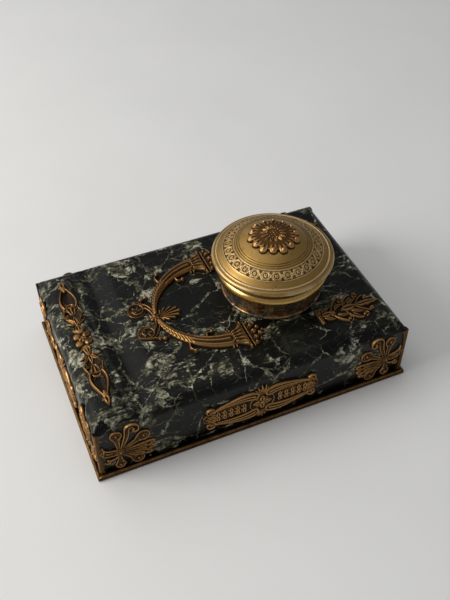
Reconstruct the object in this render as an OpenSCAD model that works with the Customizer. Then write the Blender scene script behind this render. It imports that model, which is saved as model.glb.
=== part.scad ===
// Desk inkwell: a marble slab with cast bronze mounts, a pen trough and one
// round brass well with a lift-off lid over a glass liner.
// Origin at the middle of the footprint, on the surface it stands on.
// +Z is up, the pen trough is at the -Y end and the well at the +Y end.

/* [Marble slab] */
// Length of the slab, front to back
slab_l = 200; // [194:1:206]
// Width of the slab
slab_w = 130; // [126:1:134]
// Height of the upright faces above the table
side_h = 39.3; // [38.5:0.1:40]
// Height of the flat top above the table
top_h = 46; // [45.5:0.1:46.5]
// Width of the pillowed bevel around the top
bevel_w = 7.5; // [6:0.5:8]
// Depth of the pen trough
trough_d = 3; // [2:0.1:3.5]
// Height of the rounded ridge in front of the trough
ridge_h = 1.8; // [1:0.1:2.2]

/* [Base moulding] */
// How far the bronze moulding stands out from the marble
mould_out = 2.8; // [2:0.1:3.2]
// Height of the moulding's top above the table
mould_h = 3.6; // [3.2:0.1:3.8]
// Width of the flange that carries the marble
flange_w = 10; // [8:1:14]

/* [Well] */
// Distance from the middle of the slab to the axis of the well
well_y = 38; // [36:0.5:39]
// Outer radius of the drum
drum_r = 31; // [30.5:0.1:31.2]
// Height of the drum above the marble
drum_h = 12; // [11.5:0.1:12.5]
// Height of the collar's seat above the marble
seat_h = 23.5; // [23:0.1:24]
// Radius of the mouth in the collar
mouth_r = 28.5; // [28.4:0.05:28.6]

/* [Lid] */
// Outer radius of the lid's rim
rim_r = 38; // [37.6:0.1:38.4]
// Height of the dome's crown above the seat
crown_h = 17.5; // [17:0.1:18]
// Number of petals on the lid's rosette
petals = 14; // [10:2:16]

/* [Mounts] */
// How far the side mounts stand out from the marble
side_relief = 2.2; // [1.6:0.1:2.6]
// Height of the top mounts above the marble
top_relief = 3.2; // [2.6:0.1:3.4]
// Radius of the fixing pins
pin_r = 1; // [0.8:0.1:1.05]

/* [Hidden] */
$fn = 96;

half_l = slab_l / 2;
half_w = slab_w / 2;

// Stack under the marble: felt, then the rails' flange
felt_t = 1.5;
rail_lift = 0.2;
slab_z = felt_t;
joint_gap = 0.4;

// Fixings
pin_l = 6;
pin_gap = 0.1;
bolt_r = 3;
bolt_hole_r = 3.3;
pocket_r = 11;
pocket_top = 10;
washer_t = 1.2;
nut_t = 4;
nut_r = 5.8;

// Colours
bronze = [0.55, 0.36, 0.19];
brass = [0.66, 0.52, 0.27];
marble = [0.10, 0.12, 0.11];

function arc(cx, cy, r, a0, a1, n) =
    [for (i = [0:n]) let (a = a0 + (a1 - a0) * i / n) [cx + r * cos(a), cy + r * sin(a)]];
function bezier(p, t) =
    pow(1 - t, 3) * p[0] + 3 * t * pow(1 - t, 2) * p[1] + 3 * t * t * (1 - t) * p[2] + pow(t, 3) * p[3];
function curve(p, n) = [for (i = [0:n]) bezier(p, i / n)];
function heading(p, i) = let (d = p[min(i + 1, len(p) - 1)] - p[max(i - 1, 0)]) d / norm(d);
function offset_side(p, w0, w1, s) =
    [for (i = [0:len(p) - 1])
        let (h = heading(p, i), w = w0 + (w1 - w0) * i / (len(p) - 1)) p[i] + s * w / 2 * [-h[1], h[0]]];
function reversed(p) = [for (i = [len(p) - 1:-1:0]) p[i]];

// A flat band that follows a path, its width going from w0 to w1
module band(p, w0, w1) {
    polygon(concat(offset_side(p, w0, w1, 1), reversed(offset_side(p, w0, w1, -1))));
}

module mirrored_x() {
    children();
    mirror([1, 0, 0]) children();
}

// ---------------------------------------------------------------- marble

// Pillowed edge: from the upright face at [0, side_h] to the top at [bevel_w, top_h]
bevel_turn = 68;
function pillow(n) =
    [for (i = [0:n]) let (a = bevel_turn * (1 - i / n))
        [bevel_w * (1 - sin(a) / sin(bevel_turn)),
         side_h + (top_h - side_h) * (cos(a) - cos(bevel_turn)) / (1 - cos(bevel_turn))]];

// Places along the slab, measured from its front face
ridge_y = 18;
ridge_w = 7;
ridge_r = (pow(ridge_w / 2, 2) + pow(ridge_h, 2)) / (2 * ridge_h);
ridge_turn = asin(ridge_w / 2 / ridge_r);
trough_front = 24.5;
trough_low = 31;
trough_back = 45;

// Height of the top along the slab, from the ridge to the end of the trough
function top_run(n) = concat(
    arc(ridge_y, top_h + ridge_h - ridge_r, ridge_r, 90 + ridge_turn, 90 - ridge_turn, n),
    [for (i = [0:n]) let (s = i / n)
        [trough_front + (trough_low - trough_front) * s, top_h - trough_d * sin(90 * s)]],
    [for (i = [1:n]) let (s = i / n)
        [trough_low + (trough_back - trough_low) * s, top_h - trough_d * pow(cos(90 * s), 2)]]);

module long_profile() {
    front = [for (p = pillow(8)) [p[0] - half_l, p[1]]];
    middle = [for (p = top_run(10)) [p[0] - half_l, p[1]]];
    back = [for (p = reversed(pillow(8))) [half_l - p[0], p[1]]];
    polygon(concat([[-half_l, slab_z]], front, middle, back, [[half_l, slab_z]]));
}

module cross_profile() {
    crest = top_h + ridge_h + 1;
    right = [for (p = pillow(8)) [half_w - p[0], p[1]]];
    left = [for (p = reversed(right)) [-p[0], p[1]]];
    polygon(concat([[half_w, slab_z]], right, [[half_w - bevel_w, crest], [bevel_w - half_w, crest]],
        left, [[-half_w, slab_z]]));
}

module long_body() {
    rotate([90, 0, 90]) linear_extrude(slab_w + 2, center = true) long_profile();
}

module slab_body() {
    intersection() {
        long_body();
        rotate([90, 0, 0]) linear_extrude(slab_l + 2, center = true) cross_profile();
    }
}

module marble_slab() {
    color(marble) difference() {
        slab_body();
        translate([0, well_y, 0]) cylinder(r = bolt_hole_r, h = top_h + 5);
        translate([0, well_y, slab_z - 1]) cylinder(r = pocket_r, h = pocket_top - slab_z + 1);
        side_pins(pin_r + pin_gap, pin_l + 1);
        top_pins(pin_r + pin_gap, pin_l + 1);
    }
}

module felt_pad() {
    inset = flange_w + 0.5;
    color([0.12, 0.25, 0.16])
        translate([-half_w + inset, -half_l + inset, 0])
            cube([slab_w - 2 * inset, slab_l - 2 * inset, felt_t]);
}

// ---------------------------------------------------------------- base moulding

// Section of a rail: x runs outward from the marble's face, y is height
module rail_section() {
    round_r = 1;
    polygon(concat(
        [[-flange_w, rail_lift], [mould_out, rail_lift]],
        arc(mould_out - round_r, mould_h - round_r, round_r, 0, 90, 5),
        [[joint_gap, mould_h], [joint_gap, slab_z], [-flange_w, slab_z]]));
}

// One mitred rail along an edge of the given length, whose face is dist from the middle
module rail(edge, dist) {
    reach = mould_out + 1;
    color(bronze) intersection() {
        translate([dist, 0, 0]) rotate([90, 0, 0])
            linear_extrude(edge + 2 * reach, center = true) rail_section();
        linear_extrude(mould_h + 1)
            polygon([[dist - flange_w - 1, -edge / 2 + flange_w + 1], [dist + reach, -edge / 2 - reach],
                [dist + reach, edge / 2 + reach], [dist - flange_w - 1, edge / 2 - flange_w - 1]]);
    }
}

module base_rail_right() {
    rail(slab_l, half_w);
}

module base_rail_left() {
    rotate([0, 0, 180]) rail(slab_l, half_w);
}

module base_rail_back() {
    rotate([0, 0, 90]) rail(slab_w, half_l);
}

module base_rail_front() {
    rotate([0, 0, -90]) rail(slab_w, half_l);
}

// ---------------------------------------------------------------- corner strips

strip_t = 1;
strip_top = 40.5;
strip_foot = mould_h + 0.1;
function strip_w(s) = 1.3 + 2.3 * pow(s, 5) + 1.4 * pow(1 - s, 4);

// One leg of a strip: x is the distance from the corner, y is height
module strip_leg() {
    n = 12;
    polygon(concat(
        [[-strip_t, strip_foot]],
        [for (i = [0:n]) let (s = i / n) [strip_w(s), strip_foot + (strip_top - strip_foot - 1) * s]],
        [[strip_w(1) - 1.5, strip_top], [-strip_t, strip_top]]));
}

module strip_leg_solid() {
    rotate([90, 0, 0]) linear_extrude(strip_t) strip_leg();
}

// A waisted angle on the corner at +x, -y, seen from above
module corner_strip(sx, sy) {
    color(bronze) mirror([sx < 0 ? 1 : 0, 0, 0]) mirror([0, sy > 0 ? 1 : 0, 0])
        translate([half_w, -half_l, 0]) {
            mirror([1, 0, 0]) strip_leg_solid();
            rotate([0, 0, 90]) strip_leg_solid();
        }
}

module corner_strip_front_left() {
    corner_strip(-1, -1);
}

module corner_strip_front_right() {
    corner_strip(1, -1);
}

module corner_strip_back_left() {
    corner_strip(-1, 1);
}

module corner_strip_back_right() {
    corner_strip(1, 1);
}

// ---------------------------------------------------------------- side mounts

rosette_u = 12.3;
rosette_z = 19;
plaque_z = 20.5;

// A stem from the heart of the rosette to a round tip
module lobe(tip, tip_r, stem_w) {
    band([[0, 0], tip], 2.2, stem_w);
    translate(tip) circle(r = tip_r);
}

// Anthemion that spreads towards +x, with its heart at the origin and a flared foot towards -x
module rosette_outline() {
    circle(r = 4.2);
    lobe([-0.8, 16.2], 3.8, 3);
    lobe([8.6, 18.6], 4.6, 4);
    lobe([15, 9], 4.2, 4);
    for (a = [-30:10:10]) lobe(21.4 * [cos(a), 0.85 * sin(a)], 1.6, 3);
    lobe([10.8, -11], 4.2, 3.6);
    lobe([-0.3, -11.6], 3.4, 3);
    lobe([-7.6, -5.8], 2, 2);
    polygon([[0, 3.4], [-5, 4.6], [-8, 6], [-9.2, 9.2], [-10.2, 9.2], [-10.5, 1], [-8.5, -1.2],
        [-5, -2.2], [0, -2]]);
}

module rosette_solid() {
    linear_extrude(side_relief - 0.6) rosette_outline();
    cylinder(r = 3.4, h = side_relief);
}

// Stands a flat mount on the right face, at [distance along, height], facing out
module on_right(at) {
    translate([half_w, at[0], at[1]]) rotate([90, 0, 90]) children();
}

module on_front(at) {
    translate([at[0], -half_l, at[1]]) rotate([90, 0, 0]) children();
}

module rosette_right(sy) {
    mirror([0, sy > 0 ? 1 : 0, 0]) on_right([-half_l + rosette_u, rosette_z]) rosette_solid();
}

module rosette_front(sx) {
    mirror([sx > 0 ? 1 : 0, 0, 0]) on_front([-half_w + rosette_u, rosette_z]) rosette_solid();
}

module rosette_right_front() {
    color(bronze) rosette_right(-1);
}

module rosette_right_back() {
    color(bronze) rosette_right(1);
}

module rosette_left_front() {
    color(bronze) mirror([1, 0, 0]) rosette_right(-1);
}

module rosette_left_back() {
    color(bronze) mirror([1, 0, 0]) rosette_right(1);
}

module rosette_front_right() {
    color(bronze) rosette_front(1);
}

module rosette_front_left() {
    color(bronze) rosette_front(-1);
}

// One quarter of a plaque of half-length a: a leaf that swells and ends in a scroll
module plaque_quarter(a) {
    leaf = [[3, 7], [0.32 * a, 12.5], [0.6 * a, 7], [0.88 * a, 6]];
    band(curve(leaf, 12), 8, 4);
    translate([a - 4, 6.5]) circle(r = 4);
}

module plaque_outline(a) {
    circle(r = 8.6);
    square([2 * a - 6, 9], center = true);
    mirrored_x() {
        plaque_quarter(a);
        mirror([0, 1, 0]) plaque_quarter(a);
        translate([a - 4, 0]) circle(r = 4);
    }
    for (s = [-1, 1]) polygon([[-3, 7 * s], [-2.4, 11.5 * s], [0, 15.5 * s], [2.4, 11.5 * s], [3, 7 * s]]);
}

module plaque_solid(a) {
    linear_extrude(side_relief - 0.6) plaque_outline(a);
    cylinder(r = 7.6, h = side_relief);
}

// The plaques on the long faces sit a little behind the middle
plaque_side_a = 37.5;
plaque_side_y = 1.5;
plaque_end_a = 22;

module plaque_right() {
    color(bronze) on_right([plaque_side_y, plaque_z]) plaque_solid(plaque_side_a);
}

module plaque_left() {
    color(bronze) mirror([1, 0, 0]) on_right([plaque_side_y, plaque_z]) plaque_solid(plaque_side_a);
}

module plaque_front() {
    color(bronze) on_front([0, plaque_z]) plaque_solid(plaque_end_a);
}

// ---------------------------------------------------------------- top mounts

garland_y = -half_l + 13.5;
horn_path = [[4.4, -39.3], [18, -37.5], [33, -24], [35, -6]];
horn_w0 = 3;
horn_w1 = 12;
neck_y = -5;
mouth_y = 4.2;
mouth_x = 35;
palmette_x = 40;
palmette_y = 50.5;

// Half of the garland, from the middle rosette out to the finial at +x
module garland_half() {
    translate([7.6, 0]) circle(r = 3.6);
    polygon([[10, -2.2], [14, -3.4], [21, -6.4], [26, -3.6], [31, -4.6], [31, 4.6], [26, 3.6],
        [21, 6.4], [14, 3.4], [10, 2.2]]);
    for (s = [0, 1]) mirror([0, s]) band(curve([[28, 3], [34, 7], [40, 2.8], [46, 1.4]], 10), 2.6, 2);
    polygon([[43, -1.2], [47.5, -2.8], [49, -1.6], [53.5, 0], [49, 1.6], [47.5, 2.8], [43, 1.2]]);
}

module garland_outline() {
    for (a = [0:90:270]) rotate(a) translate([2.6, 2.6]) circle(r = 3.1);
    mirrored_x() garland_half();
}

module ridge_garland() {
    color(bronze) difference() {
        translate([0, garland_y, top_h - 1]) linear_extrude(top_relief + 1) garland_outline();
        long_body();
    }
}

// A C-scroll beside the clasp, with a bud on its tail
module clasp_scroll() {
    difference() {
        translate([10, -49.5]) circle(r = 6.4);
        translate([10, -49.5]) circle(r = 4.4);
    }
    translate([10.4, -49.5]) circle(r = 2.4);
    translate([12, -50.4]) square([4, 1.8]);
    band(curve([[1, -42], [6, -42], [9, -42.5], [13.5, -45.5]], 6), 2.4, 2.4);
    band([[15.2, -50], [17.8, -42]], 2.4, 2);
    translate([18.6, -40.8]) circle(r = 1.9);
}

// Palmette leaf: a fan with a scalloped edge, its foot at the flower
leaf_reach = 13.6;
leaf_lobes = 7;
function leaf_point(a) =
    let (r = leaf_reach - 0.0011 * pow(a - 90, 2) - 1.1 * abs(cos((a - 30) * leaf_lobes * 1.5)))
        [0.62 * r * cos(a), -37 + r * sin(a)];

module clasp_outline() {
    translate([0, -41]) circle(r = 3.6);
    polygon(concat([[-1.5, -39], [1.5, -39]], [for (a = [30:4:150]) leaf_point(a)]));
    mirrored_x() clasp_scroll();
}

module wreath_clasp() {
    color(bronze) translate([0, 0, top_h]) {
        linear_extrude(top_relief - 0.8) clasp_outline();
        translate([0, -41, 0]) cylinder(r = 2.6, h = top_relief);
    }
}

module horn_outline() {
    band(curve(horn_path, 16), horn_w0, horn_w1);
}

// A horn of plenty: fluted body, neck ring, flared mouth, rim ring and fruit
module horn() {
    neck_t = 3;
    rim_t = 2.6;
    neck_half = 6.8;
    rim_half = 11.5;
    translate([0, 0, top_h]) {
        linear_extrude(top_relief) horn_outline();
        for (bud = [[28.5, -27.5, 35, -28], [27, -17, 24.4, -13]]) {
            linear_extrude(top_relief - 0.8) band([[bud[0], bud[1]], [bud[2], bud[3]]], 2.4, 1.8);
            translate([bud[2], bud[3], 1.8]) intersection() {
                sphere(r = 1.9);
                translate([0, 0, 8.2]) cube(20, center = true);
            }
        }
        translate([mouth_x - neck_half, neck_y - neck_t / 2, 0]) cube([2 * neck_half, neck_t, 4.6]);
        linear_extrude(3.6)
            polygon([[mouth_x - 6, neck_y], [mouth_x - 10, mouth_y], [mouth_x + 10, mouth_y],
                [mouth_x + 6, neck_y]]);
        translate([mouth_x - rim_half, mouth_y - rim_t / 2, 0]) cube([2 * rim_half, rim_t, 5]);
        for (i = [-2:2]) translate([mouth_x + 4.2 * i, 9 - 0.5 * i * i, 0]) cylinder(r = 2.9, h = 4);
        for (i = [-1:1]) translate([mouth_x + 3.8 * i, 13.4 - abs(i), 0]) cylinder(r = 2.6, h = 3.4);
    }
}

module horn_clear_of_well() {
    difference() {
        horn();
        translate([0, well_y, top_h - 1]) cylinder(r = drum_r + 1.8, h = 10);
    }
}

module horn_right() {
    color(bronze) horn_clear_of_well();
}

module horn_left() {
    color(bronze) mirror([1, 0, 0]) horn_clear_of_well();
}

// A bouquet tied at a bar, fanning towards +y, with a pointed leaf at its end
module palmette_outline() {
    square([13, 3.5], center = true);
    translate([0, 9]) circle(r = 3.6);
    band([[0, 0], [0, 30]], 3, 3.4);
    for (s = [-1, 1]) {
        band(curve([[0, 6], [4 * s, 9], [7 * s, 12], [8.6 * s, 16.5]], 8), 2.4, 2.2);
        translate([7.6 * s, 18]) circle(r = 2.4);
        band(curve([[0, 18], [5 * s, 18], [9.6 * s, 22], [9.4 * s, 27]], 8), 2.4, 2.2);
        translate([8.2 * s, 28.5]) circle(r = 2.4);
        band(curve([[0, 24], [3 * s, 27], [5.6 * s, 30], [5.4 * s, 33]], 8), 2.2, 2);
        translate([4.6 * s, 34]) circle(r = 1.8);
    }
    polygon([[-1.6, 24], [-2.7, 34], [0, 41.5], [2.7, 34], [1.6, 24]]);
}

module palmette_right() {
    color(bronze) translate([palmette_x, palmette_y + 1.5, top_h]) {
        linear_extrude(top_relief - 0.9) palmette_outline();
        translate([0, 22, 0]) cylinder(r = 3, h = top_relief);
    }
}

module palmette_left() {
    mirror([1, 0, 0]) palmette_right();
}

// ---------------------------------------------------------------- fixing pins

side_pin_spread = 24;
end_pin_spread = 13;

module side_pins(r, l) {
    for (sx = [0, 1]) mirror([sx, 0, 0]) {
        for (y = [rosette_u - half_l, half_l - rosette_u])
            on_right([y, rosette_z]) mirror([0, 0, 1]) cylinder(r = r, h = l);
        for (y = [-side_pin_spread, side_pin_spread])
            on_right([plaque_side_y + y, plaque_z]) mirror([0, 0, 1]) cylinder(r = r, h = l);
    }
    for (x = [rosette_u - half_w, half_w - rosette_u])
        on_front([x, rosette_z]) mirror([0, 0, 1]) cylinder(r = r, h = l);
    for (x = [-end_pin_spread, end_pin_spread])
        on_front([x, plaque_z]) mirror([0, 0, 1]) cylinder(r = r, h = l);
}

module top_pins(r, l) {
    spots = [[30, garland_y, 0], [35, 0, 0], [20.5, -33, 0], [palmette_x, palmette_y + 10.5, 0]];
    translate([0, -41, top_h - l]) cylinder(r = r, h = l);
    for (p = spots) mirrored_x() translate([p[0], p[1], top_h - l]) cylinder(r = r, h = l);
}

module side_mount_pins() {
    color(brass) side_pins(pin_r, pin_l);
}

module top_mount_pins() {
    color(brass) top_pins(pin_r, pin_l);
}

// ---------------------------------------------------------------- well

wall = 1.5;
liner_ledge = 17;
ledge_r = 25.5;
liner_r = 24.8;
liner_wall = 2.2;
liner_foot = 3.2;
liner_rim_t = 2;
foot_ring_r = 32.3;
foot_ring_h = 1.8;

module at_well() {
    translate([0, well_y, top_h]) children();
}

module well_foot_ring() {
    color(bronze) at_well() rotate_extrude()
        polygon(concat([[drum_r, 0], [foot_ring_r - 0.4, 0]],
            arc(foot_ring_r - 0.9, foot_ring_h / 2, foot_ring_h / 2, -45, 90, 6),
            [[drum_r, foot_ring_h]]));
}

module well_drum() {
    color(brass) at_well() difference() {
        cylinder(r = drum_r, h = drum_h);
        translate([0, 0, wall]) cylinder(r = drum_r - wall, h = drum_h);
        translate([0, 0, -1]) cylinder(r = bolt_r, h = wall + 2);
    }
}

module well_collar() {
    neck_r = 31.8;
    color(brass) at_well() rotate_extrude()
        polygon(concat(
            [[ledge_r, drum_h], [33.4, drum_h]],
            arc(31.2, drum_h + 4, 4, -55, 70, 12),
            [[neck_r, drum_h + 8.4], [neck_r, seat_h], [mouth_r, seat_h], [mouth_r, liner_ledge],
             [ledge_r, liner_ledge]]));
}

// Bolt that holds the well down, with its head on the drum's floor
module well_bolt() {
    head_r = 7;
    color(brass) translate([0, well_y, 0]) {
        translate([0, 0, top_h + wall]) cylinder(r = head_r, h = 1.4);
        translate([0, 0, pocket_top - washer_t - nut_t - 1])
            cylinder(r = bolt_r, h = top_h + wall - pocket_top + washer_t + nut_t + 1);
    }
}

module well_washer() {
    color(brass) translate([0, well_y, pocket_top - washer_t]) difference() {
        cylinder(r = 8.5, h = washer_t);
        translate([0, 0, -1]) cylinder(r = bolt_r, h = washer_t + 2);
    }
}

module well_nut() {
    color(brass) translate([0, well_y, pocket_top - washer_t - nut_t]) difference() {
        cylinder(r = nut_r, h = nut_t, $fn = 6);
        translate([0, 0, -1]) cylinder(r = bolt_r, h = nut_t + 2);
    }
}

module glass_liner() {
    color([0.75, 0.82, 0.80]) at_well() difference() {
        union() {
            translate([0, 0, liner_foot]) cylinder(r = liner_r, h = liner_ledge - liner_foot + 1);
            translate([0, 0, liner_ledge]) cylinder(r = mouth_r - 0.3, h = liner_rim_t);
        }
        translate([0, 0, liner_foot + liner_wall]) cylinder(r = liner_r - liner_wall, h = 30);
    }
}

// ---------------------------------------------------------------- lid

crown = seat_h + crown_h;
shell_in_r = 30;

// Outer skin of the lid from the crown down to the rim, as [radius, height]
function lid_skin() = concat(
    [[0, crown], [4, crown - 0.1], [8, crown - 0.5], [12, crown - 1.2], [16.5, crown - 2.6],
     [20, crown - 4.4], [23, crown - 6], [24.6, crown - 6.9], [30.8, crown - 10.1]],
    arc(34.2, crown - 12.7, 1, 80, -30, 6),
    [[35.2, crown - 14.2]],
    arc(rim_r - 2, seat_h + 2, 2, 75, -75, 10),
    [[rim_r - 2.2, seat_h]]);

function lid_inside() =
    [[shell_in_r, seat_h], [shell_in_r, crown - 11.7], [24.6, crown - 8.7], [20, crown - 6.3],
     [16.5, crown - 4.4], [12, crown - 3], [8, crown - 2.2], [5, crown - 1.8], [0, crown - 1.8]];

module lid_dome() {
    color(brass) at_well() difference() {
        rotate_extrude() polygon(concat(lid_skin(), lid_inside()));
        translate([0, 0, crown - 6]) cylinder(r = screw_r, h = 10);
    }
}

// Ring soldered inside the rim, which drops into the collar's mouth
module lid_flange() {
    spigot_r = mouth_r - 0.25;
    spigot_h = 4;
    color(brass) at_well() rotate_extrude()
        polygon([[spigot_r - 1.6, seat_h - spigot_h], [spigot_r, seat_h - spigot_h], [spigot_r, seat_h],
            [shell_in_r, seat_h], [shell_in_r, seat_h + 2.4], [spigot_r - 1.6, seat_h + 2.4]]);
}

screw_r = 1.5;
screw_head_r = 3.4;
screw_head_t = 1.6;
screw_washer_t = 0.6;
rosette_top = crown + 2.5;

// Curled petals around a seed boss, cut to sit on the crown
module lid_rosette() {
    color(bronze) at_well() difference() {
        union() {
            for (i = [0:petals - 1]) rotate([0, 0, 360 * i / petals]) {
                long = i % 2 == 0;
                reach = long ? 13.6 : 13;
                translate([reach, 0, crown - 2.4]) sphere(r = long ? 2.8 : 2.4, $fn = 32);
                translate([0, long ? -2.4 : -1.6, crown - 2.6]) cube([reach, long ? 4.8 : 3.2, 3.6]);
            }
            translate([0, 0, crown - 3]) cylinder(r = 5, h = rosette_top - crown + 3);
        }
        rotate_extrude() polygon(concat(lid_skin(), [[0, seat_h]]));
        translate([0, 0, crown - 6]) cylinder(r = screw_r, h = 7.5);
    }
}

module rosette_screw() {
    top = crown - 1.8;
    color(brass) at_well() {
        translate([0, 0, top - screw_washer_t - screw_head_t]) cylinder(r = screw_head_r, h = screw_head_t);
        translate([0, 0, top - screw_washer_t - screw_head_t])
            cylinder(r = screw_r, h = crown + 1.4 - top + screw_washer_t + screw_head_t);
    }
}

module rosette_washer() {
    color(brass) at_well() translate([0, 0, crown - 1.8 - screw_washer_t]) difference() {
        cylinder(r = 4.4, h = screw_washer_t);
        translate([0, 0, -1]) cylinder(r = screw_r, h = 3);
    }
}

marble_slab();
felt_pad();
base_rail_front();
base_rail_back();
base_rail_left();
base_rail_right();
corner_strip_front_left();
corner_strip_front_right();
corner_strip_back_left();
corner_strip_back_right();
rosette_right_front();
rosette_right_back();
rosette_left_front();
rosette_left_back();
rosette_front_right();
rosette_front_left();
plaque_right();
plaque_left();
plaque_front();
ridge_garland();
wreath_clasp();
horn_right();
horn_left();
palmette_right();
palmette_left();
side_mount_pins();
top_mount_pins();
well_foot_ring();
well_drum();
well_collar();
well_bolt();
well_washer();
well_nut();
glass_liner();
lid_dome();
lid_flange();
lid_rosette();
rosette_screw();
rosette_washer();
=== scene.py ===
import math

import bmesh
import bpy
import numpy as np
from mathutils import Matrix, Vector


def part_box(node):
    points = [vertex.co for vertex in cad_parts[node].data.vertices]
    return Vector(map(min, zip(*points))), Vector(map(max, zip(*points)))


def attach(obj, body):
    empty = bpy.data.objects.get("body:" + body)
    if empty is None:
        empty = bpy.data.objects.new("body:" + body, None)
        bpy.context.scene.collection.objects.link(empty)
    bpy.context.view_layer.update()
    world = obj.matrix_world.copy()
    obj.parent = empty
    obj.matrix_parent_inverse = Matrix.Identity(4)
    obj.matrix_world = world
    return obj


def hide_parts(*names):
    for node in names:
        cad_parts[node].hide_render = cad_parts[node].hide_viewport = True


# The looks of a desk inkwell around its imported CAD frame: +Z up, the pen trough at -Y, the well at +Y.
# Shapes are in millimetres, and turned to metres as each piece is made. Materials, camera and lights
# are in metres.
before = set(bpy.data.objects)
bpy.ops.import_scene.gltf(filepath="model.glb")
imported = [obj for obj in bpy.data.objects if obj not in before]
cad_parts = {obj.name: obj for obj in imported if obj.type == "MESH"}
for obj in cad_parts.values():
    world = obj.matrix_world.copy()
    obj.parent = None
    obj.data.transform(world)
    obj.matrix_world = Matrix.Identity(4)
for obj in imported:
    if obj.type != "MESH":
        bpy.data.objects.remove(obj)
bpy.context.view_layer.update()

MM = 0.001
# Usual spacing of the points in a relief
GRID = 0.25


def centre(node):
    """Middle of a CAD node's box at rest, in millimetres."""
    low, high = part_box(node)
    return [(a + b) / 2 / MM for a, b in zip(low, high)]


slab_low, slab_high = (np.array(corner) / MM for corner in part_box("marble_slab"))
HALF_W, HALF_L = slab_high[0], slab_high[1]
SLAB_Z = slab_low[2]
# Top of the slab's upright faces, its flat top, and how far in the bevel between them reaches
SIDE_H, TOP_H, BEVEL_W = 39.3, 46.0, 7.5
# The well's axis, and the heights above TOP_H of the lid's seat and its crown
WELL_Y = centre("well_drum")[1]
SEAT, CROWN = 23.5, 41.0
# Underside of the glass liner, above TOP_H
LINER_FOOT = 3.2


# ---------------------------------------------------------------- paths and meshes

def bezier(p0, p1, p2, p3, n=16):
    """Points along a cubic curve."""
    t = np.linspace(0, 1, n + 1)[:, None]
    p0, p1, p2, p3 = (np.array(p, float) for p in (p0, p1, p2, p3))
    return (1 - t) ** 3 * p0 + 3 * t * (1 - t) ** 2 * p1 + 3 * t * t * (1 - t) * p2 + t ** 3 * p3


def spiral(centre_at, r0, r1, a0, a1, n=30):
    """Points from radius r0 at angle a0 to radius r1 at angle a1, in degrees."""
    a = np.radians(np.linspace(a0, a1, n + 1))
    r = np.linspace(r0, r1, n + 1)
    return np.stack([centre_at[0] + r * np.cos(a), centre_at[1] + r * np.sin(a)], 1)


def arc(cx, cy, r, a0, a1, n=8):
    return spiral((cx, cy), r, r, a0, a1, n)


def ray(degrees):
    """Unit vector at an angle."""
    a = math.radians(degrees)
    return np.array([math.cos(a), math.sin(a)])


def left_of(v):
    return np.array([-v[1], v[0]])


def smooth(t):
    """Eases from 0 to 1 as t does."""
    t = np.clip(t, 0, 1)
    return t * t * (3 - 2 * t)


def blur(h, cells):
    """Gaussian blur of a grid, its sigma in cells."""
    reach = int(3 * cells) + 1
    weights = np.exp(-0.5 * (np.arange(-reach, reach + 1) / cells) ** 2)
    weights /= weights.sum()
    for axis in (0, 1):
        padded = np.pad(h, [(reach, reach) if a == axis else (0, 0) for a in (0, 1)], mode="edge")
        size = h.shape[axis]
        h = sum(w * np.take(padded, np.arange(k, k + size), axis) for k, w in enumerate(weights))
    return h


def edge_of(wide, deep):
    """Indices of the points round the edge of a grid, anticlockwise."""
    return (list(range(wide)) + [j * wide + wide - 1 for j in range(1, deep)]
            + [(deep - 1) * wide + i for i in range(wide - 2, -1, -1)]
            + [j * wide for j in range(deep - 2, 0, -1)])


def sheet_faces(wide, deep):
    """Faces of a closed sheet: a grid of points, then the same grid again behind it, and their edge."""
    n = wide * deep
    faces = []
    for j in range(deep - 1):
        for i in range(wide - 1):
            a = j * wide + i
            faces.append([a, a + 1, a + wide + 1, a + wide])
            faces.append([a + n, a + wide + n, a + wide + 1 + n, a + 1 + n])
    ring = edge_of(wide, deep)
    return faces + [[b, a, a + n, b + n] for a, b in zip(ring, ring[1:] + ring[:1])]


def piece(name, points, faces, body, material, node, wear_and_shade=None):
    """A finished piece: points in millimetres, riding on a body, in place of a CAD node."""
    mesh = bpy.data.meshes.new(name)
    mesh.from_pydata((np.asarray(points, float) * MM).tolist(), [], faces)
    mesh.polygons.foreach_set("use_smooth", [True] * len(mesh.polygons))
    if wear_and_shade is not None:
        layer = mesh.attributes.new("wear_and_shade", "FLOAT", "POINT")
        layer.data.foreach_set("value", np.asarray(wear_and_shade, np.float32))
    mesh.materials.append(material)
    mesh.update()
    obj = bpy.data.objects.new(name, mesh)
    bpy.context.scene.collection.objects.link(obj)
    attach(obj, body)
    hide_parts(node)
    return obj


# ---------------------------------------------------------------- reliefs

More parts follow.
